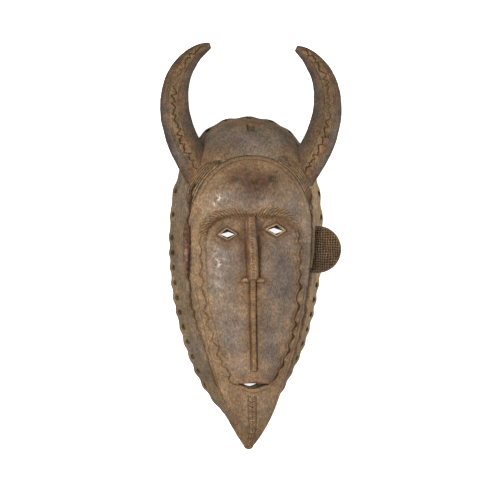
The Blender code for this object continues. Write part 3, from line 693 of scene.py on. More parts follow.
def carve_cheek_bands(relief, x, y):
    """The zigzag down the left cheek with its plain line, and the dark scallops down the right cheek."""
    distance, along, side, _ = near_line(x, y, millimetres(LEFT_ZIGZAG))
    width = 0.0011 + 0.0003 * np.sin(along * 700.0)
    uneven = np.sin(along * 260.0)
    relief.cut(groove(distance, width), depth=0.0014, darkness=0.42 + 0.25 * smooth(-y, 0.090, 0.130))
    relief.tint("brown", 0.55 * fall(distance, 0.0008, 0.0042) * (0.65 + 0.35 * uneven))
    relief.tint("ochre", 0.56 * fall(distance, 0.003, 0.008))
    strokes = notches(along - 0.8 * side * distance, HATCH_PITCH, 0.0007)
    relief.cut(strokes * fall(distance, 0.0040, 0.0065) * (0.6 + 0.4 * uneven), depth=0.0006, darkness=0.50)
    distance, _, _, _ = near_line(x, y, rounded(millimetres(LEFT_INNER_LINE)))
    relief.cut(groove(distance, 0.0011), depth=0.0008, darkness=0.34)
    line, widths = with_widths(RIGHT_SCALLOPS)
    distance, _, _, width = near_line(x, y, line, widths)
    scallop = groove(distance, width * 1.35 + 0.0002)
    darkness = (0.25 + 0.75 * smooth(width, 0.0007, 0.0016)) * (0.50 + 0.50 * smooth(-y, 0.016, 0.040))
    relief.cut(scallop, depth=0.0022, darkness=darkness)
    relief.tint("brown", 0.8 * fall(distance, 0.003, 0.009))
    distance, _, _, _ = near_line(x, y, line + [-0.0042, 0.0])
    relief.cut(groove(distance, 0.0008), depth=0.0006, darkness=0.45)


def carve_brows(relief, x, y):
    """The raised brows, crossed by slanting strokes, that meet above the nose, with painted shadow below
    them.
    """
    half = BROW_WIDTH / 2.0
    for line, outer_side in ((LEFT_BROW, -1.0), (RIGHT_BROW, 1.0)):
        places = rounded(millimetres(line)) - [0.0, 0.0006]
        distance, along, side, _ = near_line(x, y, places)
        length = line_length(places)
        upward = side * outer_side * distance
        ends = between(along, 0.001, 0.006, length - 0.016, length)
        body = fall(np.abs(upward), half * 0.62, half * 1.25) * ends
        relief.raise_by(body, height=BROW_HEIGHT, ochre=0.60)
        stroke = notches(along - 0.95 * upward + 0.0005 * np.sin(along * 900.0), BROW_PITCH, 0.0018)
        cross = stroke * fall(np.abs(upward), half * 0.70, half * 1.15) * ends
        relief.cut(cross, depth=0.0013, darkness=0.74)
        relief.tint("brown", 0.55 * body)
        # Painted shadow: a brown band just below each brow.
        relief.tint("brown", 0.9 * between(upward, -0.016, -0.006, -0.006, -0.003) * ends)


def carve_eyes(relief, x, y):
    """The raised diamond frames of the eyes in their hollows, the lid over the right eye, and painted shade
    in the inner corners beside the nose.
    """
    for frame in (LEFT_EYE_FRAME, RIGHT_EYE_FRAME):
        reach = polygon_distance(x, y, millimetres(frame))
        rim = between(reach, -0.0030, -0.0016, -0.0004, 0.0010)
        relief.height -= 0.0022 * fall(np.abs(reach), 0.004, 0.013)
        relief.raise_by(rim, height=EYE_FRAME_RISE, ochre=0.45)
        relief.cut(groove(reach - 0.0018, 0.0014), depth=0.0009, darkness=0.45)
        relief.tint("brown", 0.88 * fall(reach, 0.003, 0.015))
        relief.fade("brown", 0.9 * rim)
        relief.tint("pale", 0.58 * between(reach, -0.0022, -0.0012, -0.0006, 0.0004))
    distance, _, _, _ = near_line(x, y, rounded(millimetres(RIGHT_LID)))
    relief.raise_by(fall(distance, 0.0008, 0.0026), height=0.0012, ochre=0.8)
    # Beside the root of the nose the face dips and is browned: painted shade in the inner corners of the
    # eyes.
    for side in (-1.0, 1.0):
        corner = blob(x, y, (side * 12.0 + 0.8, 20.0), (7.0, 20.0))
        relief.height -= 0.0016 * corner
        relief.tint("brown", np.clip(1.25 * corner, 0.0, 1.0))


def tone_face(relief, x, y):
    """Where the face is polished grey, stained or worn down to the brown wood, and where painted shade
    darkens its right side, the sides of the nose and ridge and the nostrils.
    """
    relief.patches(x, y, FACE_PATCHES)
    # Painted shade: brown down both sides of the nose and the ridge.
    beside = np.abs(x - nose_line(y))
    relief.tint("brown", (1.0 - 0.45 * smooth(-y, 0.055, 0.080)) * fall(beside, 0.006, 0.017)
                * between(-y, -0.045, 0.0, 0.150, 0.170))
    # Painted shade: dark lines at the foot of the ridge and of the nose, wider on the right of the nose.
    on_ridge = between(-y, 0.038, 0.042, 0.152, 0.158)
    relief.cut(groove(beside - ridge_half_width(y) - 0.0004, 0.0013) * on_ridge, depth=0.0006, darkness=0.66)
    on_nose = between(-y, -0.044, -0.030, 0.034, 0.040)
    width = 0.0018 + 0.0018 * smooth(x - nose_line(y), -0.001, 0.001)
    relief.cut(groove(beside - NOSE_WIDTH / 2.0 + 0.0002, width) * on_nose, depth=0.0006, darkness=0.50)
    relief.tint("ochre", 0.50 * smooth(-y, 0.165, 0.195))
    relief.tint("brown", 0.60 * smooth(-y, 0.175, 0.240) * fall(np.abs(x), 0.010, 0.034))
    relief.tint("brown", 0.5 * smooth(-y, 0.225, 0.255))


def carve_mouth(relief, x, y):
    """The red upper lip, the long slit and the thin curved lower lip."""
    share = np.clip(np.abs(x - MOUTH_X) / (MOUTH_WIDTH / 2.0), 0.0, 1.0)
    bow = 1.0 - share ** 2
    above = y - MOUTH_LEVEL
    fullness = LIP_HEIGHT * (0.35 + 0.65 * bow)
    middle = smooth(bow, 0.05, 0.35)
    off_lip = np.abs(above - 0.0056 * bow - 0.0006)
    upper = fall(off_lip, fullness * 0.40, fullness * 0.62 + 0.0006) * (share < 1.0)
    relief.raise_by(upper, height=LIP_RISE)
    relief.tint("red", 0.80 * upper * middle)
    relief.tint("pale", 0.16 * upper * middle)
    relief.tint("brown", 0.9 * upper * (1.0 - middle))
    lower = fall(np.abs(above + 0.0026 + 0.0068 * bow), 0.0008, 0.0022) * middle
    relief.raise_by(lower, height=0.0014, ochre=0.9)
    relief.tint("red", 0.35 * lower)
    # The slit and the edge of its opening are darkened: painted shade in the mouth.
    slit = groove(above + 0.0012 * bow, 0.0014) * smooth(-share, -1.0, -0.93)
    relief.cut(slit, depth=0.0025, darkness=1.0)
    relief.tint("dark", fall(polygon_distance(x, y, mouth_slit()), -0.0002, 0.0006))
    crease = groove(above - 0.0098 * bow + 0.001, 0.0012) * smooth(bow, 0.1, 0.4)
    relief.cut(crease, depth=0.0004, darkness=0.4)


def carve_chin_band(relief, x, y):
    """The raised band down the chin, filled with small chevrons, and the pale edge on its right."""
    across = x - nose_line(y) + 0.0010
    half = CHIN_BAND_WIDTH / 2.0 * (1.0 - 0.45 * smooth(-y, 0.2150, 0.2500))
    here = fall(y, MOUTH_LEVEL - 0.017, MOUTH_LEVEL - 0.012)
    body = fall(np.abs(across), half * 0.80, half * 1.05) * here
    relief.raise_by(body, height=CHIN_BAND_RISE)
    relief.fade("ochre", 0.55 * body)
    relief.tint("brown", 0.55 * body)
    chevron = notches(y - 0.55 * np.abs(across), CHIN_BAND_PITCH, 0.0011)
    relief.cut(chevron * body * (0.70 + 0.30 * np.sin(y * 900.0)), depth=0.0011, darkness=0.95)
    relief.tint("ochre", 0.8 * body * (1.0 - chevron) * (0.5 + 0.5 * np.sin(y * 1400.0 + x * 900.0)))
    specks = np.clip(noise(flat_points(x, y), SPECK_SIZE, 44) * 2.0 - 0.5, 0.0, 1.0)
    relief.tint("pale", 0.34 * body * specks)
    relief.tint("red", 0.20 * body * (1.0 - specks))
    relief.cut(groove(np.abs(across) - half * 1.12, 0.0009) * here, depth=0.0007, darkness=0.5)
    relief.cut(groove(across, 0.0006) * body, depth=0.0005, darkness=0.5)
    edge = fall(np.abs(across - half - 0.0030), 0.0006, 0.0022) * here * fall(-y, 0.230, 0.245)
    relief.raise_by(edge, height=0.0007, ochre=1.0)


def fan_offset(angle, side):
    """How far outside the face the outermost fan line lies beside a horn."""
    turn = np.abs(np.where(angle > math.pi, angle - 2.0 * math.pi, angle))
    span = LEFT_FAN_SPAN if side < 0 else RIGHT_FAN_SPAN
    return FAN_WIDTH * between(turn, *span)


def carve_fans(relief, x, y):
    """The raised wedges of parallel lines beside the horns, on the hood."""
    dense = np.linspace(0.02, 1.5, 120)
    for side in (-1.0, 1.0):
        angle = dense if side > 0 else 2.0 * math.pi - dense
        edge = face_outline(angle)
        distance, along, _, _ = near_line(x, y, edge)
        total = np.concatenate([[0.0], np.cumsum(np.hypot(*np.diff(edge, axis=0).T))])
        room = np.interp(along, total, fan_offset(angle, side))
        outside = (x * side > 0.0) & (along > 0.0)
        inside_fan = fall(distance, room - 0.0008, room + 0.0012) * outside * (room > 0.0012)
        relief.raise_by(inside_fan, height=FAN_RISE, ochre=0.55)
        relief.fade("brown", 0.4 * inside_fan)
        for line in range(1, FAN_LINES + 1):
            level = line / (FAN_LINES + 0.4) * room
            cut = groove(distance - level, 0.0009) * outside * smooth(room, 0.0016, 0.0050)
            relief.cut(cut, depth=0.0010, darkness=1.0)


def quads_between(count, rows, loop=False):
    """Faces between neighbouring rings, and also between the last and the first in a loop."""
    column = np.arange(count)
    after = (column + 1) % count
    faces = []
    for row in range(rows if loop else rows - 1):
        low, high = row * count, ((row + 1) % rows) * count
        faces.append(np.column_stack([low + column, low + after, high + after, high + column]))
    return np.vstack(faces).tolist()


def grid_object(name, rings, loop=False):
    """A closed mesh through rings of points: joined into a loop, or with its ends closed by ladders."""
    rows, count = rings.shape[:2]
    quads = quads_between(count, rows, loop)
    if not loop:
        half = count // 2
        for start, flip in ((0, True), ((rows - 1) * count, False)):
            rungs = [(start, start + 1, start + count - 1),
                     (start + half - 1, start + half, start + half + 1)]
            rungs += [(start + i, start + i + 1, start + count - i - 1, start + count - i)
                      for i in range(1, half - 1)]
            quads += [tuple(reversed(rung)) if flip else rung for rung in rungs]
    return new_object(name, rings.reshape(-1, 3), quads)


def capped_tube(name, rings, crease=50.0):
    """A tube through rings, with single flat faces at both ends."""
    rows, count = rings.shape[:2]
    quads = quads_between(count, rows)
    quads.append(list(range(count - 1, -1, -1)))
    quads.append(list(range((rows - 1) * count, rows * count)))
    made = new_object(name, rings.reshape(-1, 3), quads)
    made.data.set_sharp_from_angle(angle=math.radians(crease))
    return made


def new_object(name, points, faces):
    """A smooth object of points and faces whose faces point outwards."""
    mesh = bpy.data.meshes.new(name)
    mesh.from_pydata(np.asarray(points).tolist(), [], faces)
    mesh.update()
    if signed_volume(mesh) < 0.0:
        mesh.flip_normals()
    mesh.shade_smooth()
    made = bpy.data.objects.new(name, mesh)
    bpy.context.scene.collection.objects.link(made)
    return made


def signed_volume(mesh):
    """Volume of a closed mesh, negative when its faces point inwards."""
    mesh.calc_loop_triangles()
    corners = np.empty(len(mesh.vertices) * 3)
    mesh.vertices.foreach_get("co", corners)
    corners = corners.reshape(-1, 3)
    index = np.empty(len(mesh.loop_triangles) * 3, dtype=np.int64)
    mesh.loop_triangles.foreach_get("vertices", index)
    a, b, c = (corners[index.reshape(-1, 3)[:, k]] for k in range(3))
    return float(np.einsum("ij,ij->i", a, np.cross(b, c)).sum() / 6.0)


def set_attribute(mesh, name, values):
    """Store one number for each vertex."""
    layer = mesh.attributes.new(name, 'FLOAT', 'POINT')
    layer.data.foreach_set("value", np.asarray(values, dtype=np.float32))


def grid_normals(rings):
    """Normals of a surface given as closed rings, all pointing to the same side of it."""
    around = np.roll(rings, -1, axis=1) - np.roll(rings, 1, axis=1)
    across = np.gradient(rings, axis=0)
    normal = np.cross(across, around)
    length = np.linalg.norm(normal, axis=2, keepdims=True)
    return normal / np.maximum(length, 1e-12)


def leaning(points, share=1.0):
    """The points with the face drawn a little to one side, as the carver left it."""
    moved = np.array(points, dtype=float)
    moved[..., 0] += CHIN_LEAN * smooth(-moved[..., 1], -MOUTH_LEVEL, -FACE_BOTTOM)
    moved[..., 0] += middle_line(moved[..., 1]) * share
    return moved


LOW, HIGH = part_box("mask")
PLACE = np.array([HIGH.x - EAR_X - EAR_RADIUS, LOW.y - FACE_BOTTOM, 0.0])


def border_rise(y):
    """How far the edge of the face stands above the hood: less over the forehead."""
    return BORDER_RISE * (1.0 - 0.55 * smooth(y, 0.03, 0.10))


def face_piece():
    """The face with all its carving, and the roof of the hollow behind it."""
    angle, _ = even_angles(FACE_POINTS)
    outline, core = face_outline(angle), spine(angle)
    reach = np.linalg.norm(outline - core, axis=1)
    edge = edge_height(outline[:, 1]) + border_rise(outline[:, 1])
    band_share = 1.0 - BAND_REACH / reach
    shares = [1.0 - BAND_REACH * step / BAND_RINGS / reach for step in range(BAND_RINGS + 1)]
    shares += [band_share * (1.0 - 0.985 * step / CHEEK_RINGS) for step in range(1, CHEEK_RINGS + 1)]
    shares = np.array(shares)
    flat = core[None] + (outline - core)[None] * shares[..., None]
    x, y = flat[..., 0].ravel(), flat[..., 1].ravel()
    inset = ((1.0 - shares) * reach[None]).ravel()
    ring_edge = np.broadcast_to(edge, shares.shape).ravel()
    relief = Relief(len(x))
    spot_x = x + middle_line(y)
    tone_face(relief, spot_x, y)
    carve_border(relief, y, inset)
    carve_scar_edge(relief, spot_x, y)
    carve_cheek_bands(relief, spot_x, y)
    carve_side_grooves(relief, spot_x, y)
    carve_scar_crack(relief, spot_x, y)
    carve_brows(relief, spot_x, y)
    carve_eyes(relief, spot_x, y)
    carve_mouth(relief, spot_x, y)
    carve_chin_band(relief, spot_x, y)
    spots = flat_points(x, y)
    uneven = 0.0006 * noise(spots, 0.018, 1) + 0.00022 * noise(spots, 0.0062, 2)
    height = face_height(x, y, shares.ravel(), ring_edge) + relief.height + uneven
    front = np.column_stack([x, y, height]).reshape(shares.shape + (3,))
    groove_foot = front[0].copy()
    groove_foot[:, 2] = edge - border_rise(outline[:, 1]) - 0.001
    rings = np.array(face_back(angle, edge) + [groove_foot] + list(front))
    made = grid_object("face", leaning(rings))
    relief.store(made.data, before=(rings.shape[0] - front.shape[0]) * len(angle))
    return made


def face_back(angle, edge):
    """Rings of the roof of the hollow behind the face, from its middle outwards."""
    inner, inner_core = face_outline(angle, WALL, CHIN_SOLID), spine(angle)
    shorter = (FACE_MIDDLE - FACE_BOTTOM - CHIN_SOLID) / (FACE_MIDDLE - FACE_BOTTOM)
    lower = inner_core[:, 1] < FACE_MIDDLE
    inner_core[:, 1] = FACE_MIDDLE + (inner_core[:, 1] - FACE_MIDDLE) * np.where(lower, shorter, 1.0)
    back = []
    for step in range(ROOF_RINGS + 1):
        share = np.full(len(angle), 1.0 - 0.99 * step / ROOF_RINGS)
        place = inner_core + (inner - inner_core) * share[:, None]
        level = face_height(place[:, 0], place[:, 1], share, edge - BORDER_RISE) - WALL
        back.append(np.column_stack([place, level]))
    return back[::-1]


def ridge_piece(name, top, bottom, rise, pitch, profile, notch_width, notch_depth, pale):
    """A long raised ridge on the middle of the face, with notches across its crest."""
    rows = int((top - bottom) / RIDGE_STEP)
    y = np.linspace(top, bottom, rows)[:, None]
    x = nose_line(y)
    turn = np.linspace(-1.0, 1.0, RIDGE_POINTS)
    half, crest = profile(y)
    across = half * turn
    arch = np.clip(1.0 - np.abs(turn) ** 3.0, 0.0, None) ** 0.6
    notch = notches(y, pitch, 0.40 * pitch) * groove(across, notch_width)
    level = crest_height(y) - 0.0030 + (rise + 0.0030) / rise * (crest * arch) - notch_depth * notch
    same = np.ones_like(across)
    top_side = np.dstack([x + across, y * same, level])
    under = np.dstack([x + across[:, ::-1] * 0.9, y * same, (crest_height(y) - 0.0060) * same])[:, ::8]
    rings = np.concatenate([top_side, under], axis=1)
    spots = rings.reshape(-1, 3)
    spots[:, 2] += 0.00025 * noise(spots, 0.005, 21)
    made = capped_tube(name, leaning(spots.reshape(rings.shape), 0.0), RIDGE_CREASE)
    relief = Relief(len(spots))
    crest_wear = smooth(arch, 0.75, 1.0)
    rungs = (0.6 + 0.4 * pale) * groove(across, notch_width) * (1.0 - notch)
    shadow = 0.26 - 0.30 * pale + 0.34 * fall(arch, 0.35, 0.80)
    for tone, values, below in (("dark", notch * 0.62, 0.0),
                                ("ochre", np.maximum(pale * crest_wear, rungs), 0.0),
                                ("brown", 0.65 + 0.35 * (1.0 - crest_wear), 1.0),
                                ("red", 0.40 * fall(arch, 0.60, 0.95), 0.0),
                                ("shade", shadow, 0.0)):
        relief.tint(tone, np.hstack([values * same, np.full(under.shape[:2], below)]))
    relief.store(made.data)
    return made


def nose_profile(y):
    """Half width and height of the nose: low and narrow at its top, with a blunt foot."""
    grow = smooth(-y, -NOSE_TOP, -NOSE_TOP + 0.050)
    end = np.sqrt(np.clip((y - NOSE_BOTTOM) / NOSE_FOOT, 0.02, 1.0))
    start = np.clip((NOSE_TOP - y) / NOSE_START, 0.05, 1.0)
    half = NOSE_WIDTH / 2.0 * (0.66 + 0.34 * grow) * (0.85 + 0.15 * end)
    return half, NOSE_RISE * (0.45 + 0.55 * grow) * np.minimum(end, start)


def ridge_half_width(y):
    """Half width of the thin ridge, which narrows towards its lower end."""
    return RIDGE_WIDTH / 2.0 * (1.0 - 0.13 * smooth(-y, 0.050, 0.130))


def ridge_profile(y):
    """Half width and height of the thin ridge below the nose, with a round lower end."""
    past = np.clip((RIDGE_BOTTOM + RIDGE_END - y) / RIDGE_END, 0.0, 1.0)
    end = np.sqrt(np.clip(1.0 - past ** 2, 0.02, 1.0))
    return ridge_half_width(y) * (0.3 + 0.7 * end), RIDGE_RISE * end


def knob_piece(name, side):
    """One nostril: a small rounded knob beside the foot of the nose, with a painted highlight on its top."""
    middle = nose_line(np.array([NOSE_BOTTOM]))[0] + side * NOSTRIL_SPACING / 2.0 * 0.80
    y = NOSE_BOTTOM + 0.0022
    turn = np.linspace(0.0, 2.0 * math.pi, KNOB_POINTS, endpoint=False)
    tilt = np.linspace(-1.2, 1.54, KNOB_RINGS)
    radius = NOSTRIL_DIAMETER / 2.0
    base = float(face_height(*(np.array([value]) for value in (middle, y, NOSTRIL_SHARE, NOSTRIL_EDGE)))[0])
    rings = np.array([np.column_stack([middle + radius * 1.22 * math.cos(t) * np.cos(turn),
                                       y + radius * 0.74 * math.cos(t) * np.sin(turn),
                                       base - 0.0004 + radius * math.sin(t) + 0.0 * turn]) for t in tilt])
    spots = rings.reshape(-1, 3)
    spots += 0.00025 * noise(spots, 0.003, 31)[:, None]
    made = capped_tube(name, spots.reshape(rings.shape))
    relief = Relief(len(spots))
    # Painted highlight: pale specks on the top of each knob.
    upper = np.repeat(smooth(tilt, 0.4, 1.2), len(turn))
    specks = np.clip(noise(spots, SPECK_SIZE, 45) * 1.6, 0.0, 1.0)
    relief.tint("red", 0.50 * upper)
    relief.tint("brown", 1.0 - 0.45 * upper)
    relief.tint("polish", upper)
    relief.tint("pale", 0.45 * upper * specks)
    relief.store(made.data)
    return made


def hood_line(angle, share, inset=0.0, lower_by=0.0, foot=0.0):
    """A ring on the hood, from its rim (share 0) to the groove (share 1)."""
    low = rim_outline(angle, inset)
    high = face_outline(angle, inset, foot)
    high[:, 0] += middle_line(high[:, 1]) * share
    crown = smooth(np.cos(angle), -0.1, 0.9)
    roundness = 0.25 + 0.75 * crown
    inwards = share + (1.0 - math.cos(share * math.pi / 2.0) - share) * roundness
    upwards = share + (math.sin(share * math.pi / 2.0) - share) * roundness
    top = edge_height(face_outline(angle)[:, 1]) - lower_by
    flat = low + (high - low) * inwards[:, None]
    return np.column_stack([flat, top * upwards])


def outwards_at(angle):
    """Directions square to the rim's outline, pointing away from the middle."""
    step = 1e-4
    along = rim_outline(angle + step) - rim_outline(angle - step)
    along[np.isclose(np.cos(angle), -1.0)] = (-1.0, 0.0)
    outwards = np.column_stack([-along[:, 1], along[:, 0], np.zeros(len(angle))])
    return outwards / np.linalg.norm(outwards, axis=1)[:, None]


def hood_piece():
    """The hood: its outer wall, the scalloped rim and the wall of the hollow."""
    angle, along = even_angles(HOOD_POINTS)
    outer = hood_outside(angle, along)
    spots = outer.reshape(-1, 3)
    normal = grid_normals(outer).reshape(-1, 3)
    if normal[:, 2].sum() < 0.0:
        normal = -normal
    relief = Relief(len(spots))
    carve_hood(relief, spots, np.repeat(np.arange(HOOD_RINGS + 1) / HOOD_RINGS, len(angle)))
    outer = (spots + normal * relief.height[:, None]).reshape(outer.shape)
    inner = []
    for step in range(BACK_RINGS + 1):
        share = step / BACK_RINGS
        easing = float(smooth(share, 0.0, 0.2))
        inner.append(hood_line(angle, share, RIM_WALL + (WALL - RIM_WALL) * easing, WALL * easing,
                               CHIN_SOLID * float(smooth(share, 0.0, 0.3))))
    rings = np.vstack([np.array(inner)[::-1], outer])
    made = grid_object("hood", leaning(rings, 0.0), loop=True)
    relief.store(made.data, before=len(inner) * len(angle))
    return made


def hood_outside(angle, along):
    """Rings of the outer wall, from the flared and scalloped rim up to the groove."""
    lobe = 0.5 * np.cos(along / along.max() * math.pi * HOLE_PAIRS) * SCALLOP_DEPTH
    outer = []
    for step in range(HOOD_RINGS + 1):
        share = step / HOOD_RINGS
        flare = (lobe + RIM_FLARE) * float(fall(share, 0.05, 0.24))
        flare = flare * (0.6 + 0.4 * float(smooth(share, 0.0, 0.05)))
        outer.append(hood_line(angle, share) + outwards_at(angle) * flare[:, None])
    return np.array(outer)


def carve_hood(relief, spots, shares):
    """Everything carved into the outer wall of the hood, and its tones."""
    x, y, z = spots.T
    raw = scar_mask(spots)
    above_rim = smooth(shares, 0.0, 0.03)
    relief.height += raw * (SCAR_RISE + scar_roughness(spots))
    uneven = 0.0006 * noise(spots * [1.0, 1.0, 0.6], 0.016, 5) + 0.0003 * noise(spots, 0.006, 6)
    relief.height += uneven * above_rim
    relief.cut(recess_mask(x, y), depth=RECESS_DEPTH, darkness=0.45)
    relief.tint("raw", raw)
    tone_hood(relief, spots, shares)
    carve_fans(relief, x, y)
    before = relief.height.copy()
    carve_side_grooves(relief, x, y)
    relief.height = np.where(z > SCAR_FOOT, relief.height, before)
    relief.fade("dark", raw)
    carve_scar_crack(relief, x, np.where(z < CRACK_FOOT, FAR_AWAY, y))
    relief.tint("dark", 0.35 * raw * smooth(y, SCAR_MIDDLE - 0.008, SCAR_MIDDLE + 0.010))
    relief.tint("polish", raw * smooth(-y, -SCAR_MIDDLE - 0.004, -SCAR_MIDDLE + 0.008))
    relief.height *= smooth(y, FACE_BOTTOM, FACE_BOTTOM + 0.010)
    # Painted shade in and round the rim holes
    relief.tint("dark", hole_mask(spots))


def tone_hood(relief, spots, shares):
    """Grey polish, brown and darker places, paler outer walls at both sides, and painted shade in the strip
    of hood beside the ear.
    """
    x, y = spots[:, 0], spots[:, 1]
    relief.patches(x, y, HOOD_PATCHES)
    relief.tint("ochre", 0.70 * smooth(x, 0.070, 0.086))
    relief.tint("pale", 0.20 * smooth(x, 0.070, 0.084))
    # Painted shade in the strip of hood between the groove and the ear.
    beside_ear = blob(x, y, (85, 3), (8, 30))
    relief.fade("ochre", np.minimum(1.1 * beside_ear, 1.0))
    relief.fade("pale", np.minimum(1.2 * beside_ear, 1.0))
    relief.tint("shade", 0.60 * beside_ear)
    relief.tint("ochre", 0.45 * smooth(-x, 0.070, 0.085) * (0.5 + 0.5 * noise(spots, 0.02, 40)))
    relief.tint("red", 0.45 * blob(x, y, (-18, 162), (11, 4)) + 0.45 * blob(x, y, (17, 165), (10, 4)))
    relief.tint("brown", 0.9 * fall(shares, 0.0, 0.05))


def scar_mask(spots):
    """One on the strip where the second ear broke off, on the -X side of the hood."""
    x, y, z = spots.T
    wobble = 0.003 * noise(spots, 0.006, 9)
    end = SCAR_LENGTH / 2.0
    length = fall(np.abs(y - SCAR_MIDDLE) + wobble, end - 0.002, end + 0.001)
    inner = SCAR_INNER + 0.004 * smooth(-y, -0.03, 0.04)
    across = smooth(x - wobble * 0.3, SCAR_OUTER, SCAR_OUTER + 0.0008) * fall(x, inner, inner + 0.0008)
    return length * across * (z > SCAR_FOOT)


def recess_mask(x, y):
    """One in the shallow square recess near the top of the hood."""
    across = fall(np.abs(x), RECESS_WIDTH / 2.0 - 0.0008, RECESS_WIDTH / 2.0 + 0.0004)
    return across * fall(np.abs(y - RECESS_Y), RECESS_LENGTH / 2.0 - 0.0008, RECESS_LENGTH / 2.0 + 0.0008)


def horn_path(side, length, turn, at):
    """Middle of a horn and the direction of its outer side, at shares of its length."""
    fine = np.linspace(0.0, 1.0, HORN_PATH_STEPS + 1)
    heading = HORN_LEAN - turn * fine ** HORN_CURL
    step = length / HORN_PATH_STEPS
    path_x = HORN_BASE_X + np.concatenate([[0.0], np.cumsum(np.sin(heading[:-1]) * step)])
    path_y = HORN_BASE_Y + np.concatenate([[0.0], np.cumsum(np.cos(heading[:-1]) * step)])
    centre = np.column_stack([side * np.interp(at, fine, path_x), np.interp(at, fine, path_y),
                              HORN_BASE_Z - HORN_SWEEP_BACK * smooth(at, 0.0, 1.0)])
    turned = HORN_LEAN - turn * at ** HORN_CURL
    return centre, np.column_stack([side * np.cos(turned), -np.sin(turned), np.zeros(len(at))])


def horn_section():
    """A rounded square, denser on the carved front and flattened on its upper inner side."""
    front = np.linspace(*HORN_FRONT, HORN_FRONT_POINTS, endpoint=False)
    behind = np.linspace(HORN_FRONT[1], HORN_FRONT[0] + 2.0 * math.pi, HORN_BACK_POINTS, endpoint=False)
    round_angle = np.concatenate([front, behind])
    a, b = np.cos(round_angle), np.sin(round_angle)
    fill = (np.abs(a) ** HORN_SQUARENESS + np.abs(b) ** HORN_SQUARENESS) ** (-1.0 / HORN_SQUARENESS)
    a, b = a * fill, b * fill
    excess = np.maximum(-0.74 * a + 0.67 * b - 0.84, 0.0)
    return a + 0.74 * 0.8 * excess, b - 0.67 * 0.8 * excess


def horn_piece(side):
    """One horn: a tapering curved bar with a carved front and a smoother inner face, darkened with painted
    shade.
    """
    length, turn = (LEFT_HORN_LENGTH, LEFT_HORN_TURN) if side < 0 else (RIGHT_HORN_LENGTH, RIGHT_HORN_TURN)
    at = np.linspace(0.0, 1.0, HORN_RINGS)
    centre, outwards = horn_path(side, length, turn, at)
    a, b = horn_section()
    taper = np.clip(1.0 - at ** 2.6, 0.0, None) ** 0.75
    half_width = (HORN_TIP + (HORN_WIDTH - HORN_TIP) * taper) / 2.0
    half_depth = (HORN_TIP + (HORN_DEPTH - HORN_TIP) * taper) / 2.0
    across = half_width[:, None] * a[None]
    place = centre[:, None] + outwards[:, None] * across[..., None]
    place[..., 2] += half_depth[:, None] * b[None]
    spots = place.reshape(-1, 3)
    relief = Relief(len(spots))
    carve_horn(relief, side, at, length, across, half_width, b, spots)
    around = np.roll(place, -1, axis=1) - np.roll(place, 1, axis=1)
    normal = np.cross(around, np.gradient(place, axis=0)).reshape(-1, 3)
    normal /= np.maximum(np.linalg.norm(normal, axis=1), 1e-12)[:, None]
    if (normal * (spots - np.repeat(centre, len(a), axis=0))).sum() < 0.0:
        normal = -normal
    moved = (spots + normal * relief.height[:, None]).reshape(place.shape)
    made = capped_tube("horn_left" if side < 0 else "horn_right", moved)
    relief.store(made.data)
    return made


def carve_horn(relief, side, at, length, across, half_width, b, spots):
    """The broken zigzag between thin lines on the front of a horn, and its tones, with painted shade along
    both sides of its front and a darker tip.
    """
    along = at[:, None]
    same = np.ones_like(across)
    carve = between(along, 0.03, 0.08, 0.93, 0.98)
    size = np.minimum(1.0, half_width / 0.013)[:, None]
    on_front = smooth(b, 0.35, 0.65)
    broken = noise(np.column_stack([at * 9.0, at * 0.0, at * 0.0 + side]), 1.0, 60)[:, None]
    uneven = noise(np.column_stack([at * 40.0, at * 0.0, at * 0.0 + side]), 1.0, 61)[:, None]
    reach = HORN_ZIGZAG_REACH * (0.85 + 0.35 * uneven)
    middle = 0.0014 + 0.0012 * broken
    turns = wave(along * length * same / HORN_ZIGZAG_PITCH + 0.35 * uneven)
    zigzag = groove((across - middle - turns * reach * size) * 0.70, 0.0011) * on_front * carve
    strength = np.clip(0.85 + 0.5 * broken, 0.25, 1.0)
    relief.cut(zigzag * strength, depth=HORN_ZIGZAG_DEPTH, darkness=0.95)
    for offset, depth in HORN_LINES:
        line = groove(across - middle - offset * size, 0.0008) * on_front * carve
        relief.cut(line * np.clip(0.7 + 0.6 * uneven, 0.1, 1.0), depth=depth, darkness=0.6)
    relief.height += 0.0005 * noise(spots, 0.014, 11) + 0.0002 * noise(spots, 0.0045, 12)
    relative = across / half_width[:, None]
    front = np.clip(1.0 - np.abs(relative - 0.12) / 0.62, 0.0, 1.0) * on_front
    russet = smooth(noise(spots, 0.010, 62), 0.0, 0.5)
    relief.tint("ochre", smooth(front, 0.1, 0.75) * (0.88 + 0.12 * side + 0.35 * broken))
    relief.tint("red", 0.22 * russet * np.ravel(on_front * same))
    # Painted shade along both sides of the carved front, and at the tip.
    relief.tint("shade", np.maximum(smooth(-relative, 0.42, 0.80), smooth(relative, 0.72, 0.98)))
    relief.tint("shade", 0.8 * smooth(along, 0.93, 0.99) * same)
    relief.tint("patina", smooth(relative, 0.25, 0.7) * fall(along, 0.35, 0.65))
    relief.tint("brown", 0.9 * fall(along, 0.0, 0.16) * same)


